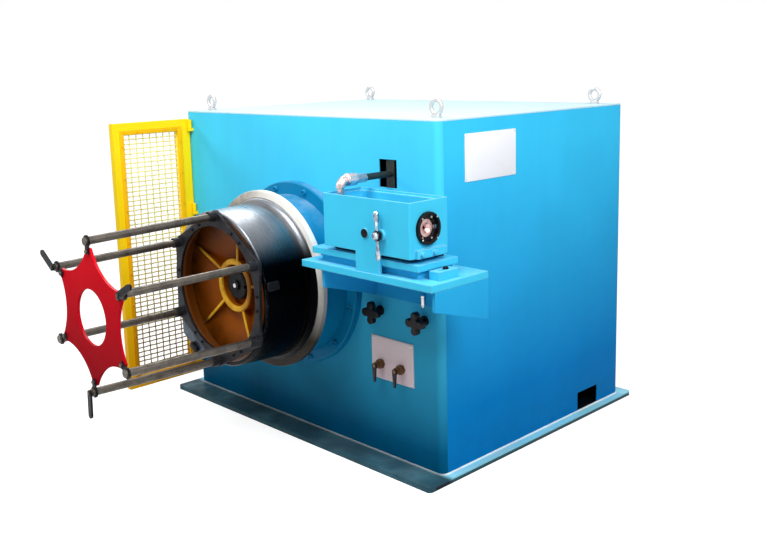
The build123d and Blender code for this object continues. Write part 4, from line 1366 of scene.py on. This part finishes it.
@dataclass
class DrumUnit(SubAssembly):
    """The bearing flange, the drum and the coil cage."""

    centre: Point = (0.0, 0.0, DRUM_AXIS_HEIGHT)
    flange_bolt_radius: float = 0.374
    flange_face: float = 0.662
    flange_bolts: int = 12
    flange_bolt_phase: float = 15.0
    flange_bolt: Head = Head(20, 0.011, 0.011, 0.55, 0.006)
    ring_face: float = 1.066
    ring_screw_radius: float = 0.275
    ring_screw_lean: float = 6.0
    ring_screw: Head = Head(16, 0.006, 0.006, 0.5, 0.003)
    rod_phase: float = 27.0
    rod_count: int = 6
    star_face: float = 1.618
    star_screw_radius: float = 0.250
    star_screw: Head = Head(6, 0.008, 0.006, 0.6, 0.0004)
    web_back: float = 0.914
    web_thickness: float = 0.018
    web_dish: float = 0.056
    web_bore: float = 0.0225
    web_outer: float = 0.2998
    collar_radius: float = 0.112
    collar_bore: float = 0.088
    collar_face: float = 0.977
    collar_chamfer: float = 0.004
    bore_chamfer: float = 0.003
    rib_count: int = 5
    rib_phase: float = 6.0
    rib_thickness: float = 0.012
    rib_clearance: float = 0.0006
    rib_edge: float = 0.002
    shaft_face: float = 0.974
    shaft_centre_radius: float = 0.0098
    gripper_angle: float = 237.0
    gripper_face: float = 1.052
    gripper_seat: float = 0.291
    gripper_reach: float = 0.345
    gripper_shift: float = -0.030
    gripper_width: float = 0.220
    gripper_tip: float = 0.140
    gripper_thickness: float = 0.010
    jaw_length: float = 0.026
    jaw_width: float = 0.046
    jaw_thickness: float = 0.016
    soft_edge: float = 0.001

    def build(self) -> None:
        """Makes the drum's pieces and finishes."""
        self.shop.dress(
            deep_blue="wall_flange drum_backing_cover", grey_steel="bearing_cartridge", cream="block_flange",
            drum_steel="drum_block", ring_steel="cage_ring", dark_steel="cage_rods", red="star_plate",
            black_oxide="wire_clamp drum_shaft hub_nut star_clips coil_latch_1 coil_latch_2 coil_latch_3")
        self._web()
        self._gripper()
        self._screws()

    def _web(self) -> None:
        """Dishes the web out to the drum's rim, with a raised collar and tapering ribs."""
        back, front, rim = self.web_back, self.web_back + self.web_thickness, self.web_back + self.web_dish
        collar, bore, face = self.collar_radius, self.collar_bore, self.collar_face
        profile = [
            (back, self.web_bore), (back, collar), (rim, self.web_outer),
            (rim + self.web_thickness, self.web_outer), (front, collar),
            (face - self.collar_chamfer, collar), (face, collar - self.collar_chamfer),
            (face, bore + self.bore_chamfer), (face - self.bore_chamfer, bore), (front, bore),
            (front, self.web_bore)]
        web = self.shop.turned("dished_web", profile, self.centre, FRONT, Body.DRUM, "amber", 96)
        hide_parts("drum_web")
        root, tip, rise = collar - self.rib_thickness, self.web_outer - self.rib_clearance, self.soft_edge
        outline = [(root, back + self.rib_edge), (collar, back + self.rib_edge), (tip, rim + rise),
                   (tip, rim + self.web_thickness + rise), (root, face - self.collar_chamfer)]
        place = standing((0.0, 0.0, self.rib_thickness / 2), RIGHT, FRONT, (0.0, 0.0, -1.0))
        values = {"Count": self.rib_count, "Phase": math.radians(self.rib_phase), "Axis Height": DRUM_AXIS_HEIGHT}
        rib = slab_mesh("web_ribs", outline, place, self.rib_thickness, self.rib_edge)
        self.shop.grown("web_ribs", self.shop.trees.ribs, values, Body.DRUM, "amber", rib)
        end, wide = self.shaft_face, self.shaft_centre_radius
        bead = [(end, 0.0), (end, wide), (end + 0.0012, wide), (end + 0.0024, wide - 0.0013), (end + 0.0028, 0.0)]
        self.shop.turned("shaft_centre", bead, self.centre, FRONT, Body.DRUM, "plated")

    def _gripper(self) -> None:
        """Fixes the wide plate that takes hold of a new wire's tip on the drum's end."""
        turn = math.radians(self.gripper_angle)
        out, along = (math.cos(turn), 0.0, math.sin(turn)), (-math.sin(turn), 0.0, math.cos(turn))
        place = standing((0.0, -self.gripper_face, DRUM_AXIS_HEIGHT), out, along, FRONT)
        half, tip, shift = self.gripper_width / 2, self.gripper_tip / 2, self.gripper_shift
        outline = [(self.gripper_seat, shift - half), (self.gripper_reach, shift - tip),
                   (self.gripper_reach, shift + tip), (self.gripper_seat, shift + half)]
        sizes = (self.gripper_thickness, self.soft_edge)
        plate = self.shop.slab("gripper_plate", outline, place, sizes, Body.DRUM, "gripper_grey")
        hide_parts("wire_gripper")
        jaw = rounded_outline(self.jaw_length, self.jaw_width, 0.006)
        middle = (self.gripper_reach - self.jaw_length / 2, 0.0, self.gripper_thickness)
        sizes = (self.jaw_thickness, self.soft_edge)
        self.shop.slab("gripper_jaw", jaw, place @ Matrix.Translation(middle), sizes, Body.DRUM, "black_oxide")

    def _screws(self) -> None:
        """Sets the screws of the bearing flange, of the six-sided ring and of the star's clips."""
        flange = [round_drum(self.flange_bolt_radius, self.flange_bolt_phase + index * 360 / self.flange_bolts,
                             self.flange_face) for index in range(self.flange_bolts)]
        self.shop.screws("flange_cap_screws", self.flange_bolt, flange, FRONT, Body.FRAME, "deep_blue")
        angles = [self.rod_phase + index * 360 / self.rod_count for index in range(self.rod_count)]
        ring = [round_drum(self.ring_screw_radius, angle + 180 / self.rod_count + lean, self.ring_face)
                for angle in angles for lean in (-self.ring_screw_lean, self.ring_screw_lean)]
        self.shop.screws("ring_cap_screws", self.ring_screw, ring, FRONT, Body.DRUM, "black_oxide")
        star = [round_drum(self.star_screw_radius, angle, self.star_face) for angle in angles]
        self.shop.screws("star_screws", self.star_screw, star, FRONT, Body.DRUM, "dark_steel")


@dataclass
class GuardDoor(SubAssembly):
    """The hinged yellow guard with its woven wire."""

    low_y: float = -0.990
    high_y: float = -0.702
    low_z: float = 0.145
    high_z: float = 1.307
    middle_x: float = -0.815
    column_pitch: float = 0.036
    row_pitch: float = 0.0223
    wire_radius: float = 0.0031
    face_x: float = -0.800
    strip_width: float = 0.022
    strip_thickness: float = 0.003
    screw_pitch: float = 0.145
    screw: Head = Head(14, 0.0042, 0.0028, 0.5, 0.0014)

    def build(self) -> None:
        """Makes the guard's pieces and finishes."""
        self.shop.dress(yellow="guard_frame guard_hinge_brackets")
        width, height = self.high_y - self.low_y, self.high_z - self.low_z
        columns, rows = round(width / self.column_pitch), round(height / self.row_pitch)
        values = {
            "Low Corner": (self.middle_x, self.low_y, self.low_z), "Columns": columns + 1, "Rows": rows + 1,
            "Column Pitch": width / columns, "Row Pitch": height / rows, "Width": width, "Height": height,
            "Wire Radius": self.wire_radius}
        mesh = self.shop.grown("guard_wire_mesh", self.shop.trees.woven, values, Body.GUARD, "wire_yellow")
        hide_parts("guard_mesh_uprights", "guard_mesh_crosswires")
        self._retainer()

    def _retainer(self) -> None:
        """Screws flat strips round the opening, which hold the mesh's edges."""
        wide, thick = self.strip_width, self.strip_thickness
        low_y, high_y, low_z, high_z = self.low_y - wide, self.high_y + wide, self.low_z - wide, self.high_z + wide
        middle_y, middle_z = (low_y + high_y) / 2, (low_z + high_z) / 2
        across, tall = high_y - low_y - 2 * wide, high_z - low_z
        strips = (
            ("left", low_y + wide / 2, middle_z, wide, tall),
            ("right", high_y - wide / 2, middle_z, wide, tall),
            ("bottom", middle_y, low_z + wide / 2, across, wide),
            ("top", middle_y, high_z - wide / 2, across, wide),
        )
        screws = []
        for side, y, z, reach_y, reach_z in strips:
            place = standing((self.face_x, y, z), (0, 1, 0), UP, RIGHT)
            outline = rounded_outline(reach_y, reach_z, 0.0015, 2)
            self.shop.slab(f"mesh_strip_{side}", outline, place, (thick, 0.0006), Body.GUARD, "retainer_yellow")
            count = max(2, round(max(reach_y, reach_z) / self.screw_pitch))
            for index in range(count):
                share = (index + 0.5) / count - 0.5
                spot_y, spot_z = (y, z + share * reach_z) if reach_z > reach_y else (y + share * reach_y, z)
                screws.append((self.face_x + thick, spot_y, spot_z))
        self.shop.screws("mesh_strip_screws", self.screw, screws, RIGHT, Body.GUARD, "retainer_yellow")


@dataclass
class DieStation(SubAssembly):
    """The bracket shelf, the slide and the die box with its die."""

    die_y: float = -0.832
    die_z: float = 1.045
    holder_face: float = 0.9603
    plug_x: float = 0.7395
    plug_z: float = 1.015
    plug_step: float = 0.004
    box_front: float = 0.920
    clamp_x: float = 0.8225
    clamp_z: float = 1.017
    bar_y: float = 0.9393
    bar_lean: float = -3.0
    die_depth: float = 0.020
    ring_gap: float = 0.0002
    ring_thickness: float = 0.0135
    ring_screw_radius: float = 0.0528
    ring_screw: Head = Head(14, 0.0030, 0.0020, 0.5, 0.001)
    holder_screw_radius: float = 0.043
    holder_screw: Head = Head(16, 0.0045, 0.003, 0.5, 0.002)
    slide_screw: Head = Head(6, 0.0105, 0.008, 0.6, 0.0005)
    key_length: float = 0.0125
    key_width: float = 0.0138
    key_depth: float = 0.015
    key_root: float = 0.0348
    key_back: float = 0.0195
    slide_slots: tuple[Point, ...] = ((0.482, -0.790, 0.927), (0.482, -0.822, 0.927), (1.0145, -0.800, 0.903))

    def build(self) -> None:
        """Makes the die station's pieces and finishes."""
        self.shop.dress(
            light_blue="shelf_plate slide_clamp die_box", slide_blue="slide_base", blue="shelf_bracket",
            black_oxide="die_holder", grey_steel="die_cradle", chrome="clamp_handle")
        self._die()
        self._holder_ring()
        self._keys()
        self._handle_grips()
        self.shop.screws("slide_screws", self.slide_screw, self.slide_slots, UP, Body.FRAME, "black_oxide")
        self._drain_plug()

    def _round_die(self, reach: float, radius: float, degrees: float) -> Point:
        """Gives a point round the die's axis."""
        turn = math.radians(degrees)
        return (reach, self.die_y + radius * math.cos(turn), self.die_z + radius * math.sin(turn))

    def _die(self) -> None:
        """Seats the drawing die in the mouth of its holder."""
        profile = [(0.0, 0.006), (0.0, 0.0335), (0.013, 0.0335), (0.015, 0.0315), (0.015, 0.020), (0.006, 0.008)]
        centre = (self.holder_face - self.die_depth, self.die_y, self.die_z)
        self.shop.turned("drawing_die", profile, centre, RIGHT, Body.FRAME, "die_steel", 48)
        spots = [self._round_die(self.holder_face, self.holder_screw_radius, 60 + index * 120) for index in range(3)]
        self.shop.screws("holder_screws", self.holder_screw, spots, RIGHT, Body.FRAME, "plated")

    def _holder_ring(self) -> None:
        """Locks the die holder with a thick black ring on the box's end."""
        thick, back = self.ring_thickness, self.holder_face + self.ring_gap
        profile = [(0.0, 0.0475), (0.0, 0.0580), (0.011, 0.0580), (thick, 0.056), (thick, 0.0495), (0.011, 0.0475)]
        centre = (back, self.die_y, self.die_z)
        self.shop.turned("holder_ring", profile, centre, RIGHT, Body.FRAME, "black_oxide", 64)
        spots = [self._round_die(back + thick, self.ring_screw_radius, 45 + index * 90) for index in range(4)]
        self.shop.screws("ring_lock_screws", self.ring_screw, spots, RIGHT, Body.FRAME, "plated")

    def _keys(self) -> None:
        """Fits a bright key in each slot of the die holder."""
        outline = rounded_outline(self.key_length, self.key_width, 0.001, 2)
        for index in range(3):
            turn = math.radians(index * 120)
            middle = self._round_die(
                self.holder_face - self.key_back, self.key_root + self.key_length / 2, index * 120)
            place = standing(
                middle, (0.0, math.cos(turn), math.sin(turn)), (0.0, -math.sin(turn), math.cos(turn)), RIGHT)
            name = f"holder_key_{index + 1}"
            self.shop.slab(name, outline, place, (self.key_depth, 0.0008), Body.FRAME, "die_steel")

    def _handle_grips(self) -> None:
        """Fits pear-shaped grips on the clamp's bar and a black collar round its hub."""
        lean = math.radians(self.bar_lean)
        centre = (self.clamp_x, -self.bar_y, self.clamp_z)
        grip = [(0.034, 0.0), (0.034, 0.0062), (0.038, 0.0068), (0.050, 0.0084), (0.064, 0.0106),
                (0.074, 0.0108), (0.082, 0.0098), (0.087, 0.0064), (0.0885, 0.0)]
        for side, name in ((1, "upper_grip"), (-1, "lower_grip")):
            axis = (side * math.sin(lean), 0.0, side * math.cos(lean))
            self.shop.turned(name, grip, centre, axis, Body.DIE_CLAMP, "chrome")
        collar = [(-0.004, 0.0135), (-0.004, 0.0185), (0.005, 0.0195), (0.007, 0.0185), (0.007, 0.0135)]
        self.shop.turned("hub_collar", collar, centre, FRONT, Body.DIE_CLAMP, "black_oxide", 40)
        cap = [(0.0105, 0.0), (0.0105, 0.0115), (0.0125, 0.0120), (0.0155, 0.0105), (0.0172, 0.006), (0.0176, 0.0)]
        self.shop.turned("hub_cap", cap, centre, FRONT, Body.DIE_CLAMP, "chrome")

    def _drain_plug(self) -> None:
        """Closes the hole in the die box's front with a dark plug."""
        profile = [(0.0, 0.0), (0.0, 0.0165), (0.0012, 0.0165), (0.002, 0.0155), (0.002, 0.009), (0.0008, 0.008),
                   (0.0008, 0.0)]
        place = (self.plug_x, -self.box_front - self.plug_step, self.plug_z)
        self.shop.turned("drain_plug", profile, place, FRONT, Body.FRAME, "black_oxide")


@dataclass
class LubricantLine(SubAssembly):
    """The pipe from the housing to the die box."""

    def build(self) -> None:
        """Dresses the pipe and its union."""
        self.shop.dress(dark_pipe="lubricant_pipe", silver="pipe_fitting")


@dataclass
class ValveStation(SubAssembly):
    """The two lobed valves, the lever valves' plate and the small fitting."""

    plate_left: float = 0.451
    plate_right: float = 0.687
    plate_low: float = 0.342
    plate_high: float = 0.521
    plate_face: float = 0.630
    plate_inset: float = 0.012
    plate_screw: Head = Head(16, 0.005, 0.003, 0.5, 0.0015)
    fitting_x: float = 0.762
    fitting_z: float = 0.714
    fitting_reach: float = 0.024
    lever_middle: float = 0.370
    lever_cut: float = 0.022

    def build(self) -> None:
        """Makes the valves' pieces and finishes."""
        self.shop.dress(
            black_plastic="valve_knob_1 valve_knob_2", brass="valve_bodies", black_oxide="knob_bases",
            plate_grey="valve_plate")
        self._levers()
        inset = self.plate_inset
        spots = [(x, -self.plate_face, z) for x in (self.plate_left + inset, self.plate_right - inset)
                 for z in (self.plate_low + inset, self.plate_high - inset)]
        self.shop.screws("valve_plate_screws", self.plate_screw, spots, FRONT, Body.FRAME, "plated")
        self._fitting()

    def _levers(self) -> None:
        """Shortens the two levers between their hubs and their tips."""
        for number, body in ((1, Body.LEVER_1), (2, Body.LEVER_2)):
            shape = bmesh.new()
            shape.from_mesh(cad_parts[f"valve_lever_{number}"].data)
            bmesh.ops.remove_doubles(shape, verts=shape.verts, dist=WELD_DISTANCE)
            for corner in shape.verts:
                if corner.co.z < self.lever_middle:
                    corner.co.z += self.lever_cut
            name = f"short_lever_{number}"
            lever = self.shop.piece(made_mesh(name, shape), name, body, "black_plastic")
            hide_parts(f"valve_lever_{number}")

    def _fitting(self) -> None:
        """Screws a small upright cock into the wall above the right valve."""
        wall = (self.fitting_x, -HOUSING_HALF_DEPTH, self.fitting_z)
        stub = [(0.0, 0.0), (0.0, 0.011), (0.006, 0.011), (0.008, 0.0095), (0.008, 0.0062), (0.022, 0.0062),
                (0.022, 0.0)]
        self.shop.turned("cock_stub", stub, wall, FRONT, Body.FRAME, "plated", 24)
        cock = [(-0.024, 0.0), (-0.024, 0.0045), (-0.018, 0.0055), (-0.016, 0.0078), (0.012, 0.0078),
                (0.014, 0.0095), (0.022, 0.0095), (0.025, 0.0075), (0.025, 0.0)]
        middle = (self.fitting_x, -HOUSING_HALF_DEPTH - self.fitting_reach, self.fitting_z)
        self.shop.turned("cock_body", cock, middle, UP, Body.FRAME, "plated", 24)


def main() -> None:
    """Builds the studio and every sub-assembly."""
    logging.basicConfig(level=logging.INFO, format="%(message)s")
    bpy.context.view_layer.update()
    Studio().build()
    shop = Workshop(Finishes().build(Effects()))
    for part in (Housing, DrumUnit, GuardDoor, DieStation, LubricantLine, ValveStation):
        log.info("building %s", part.__name__)
        part(shop).build()


if __name__ == "__main__":
    main()
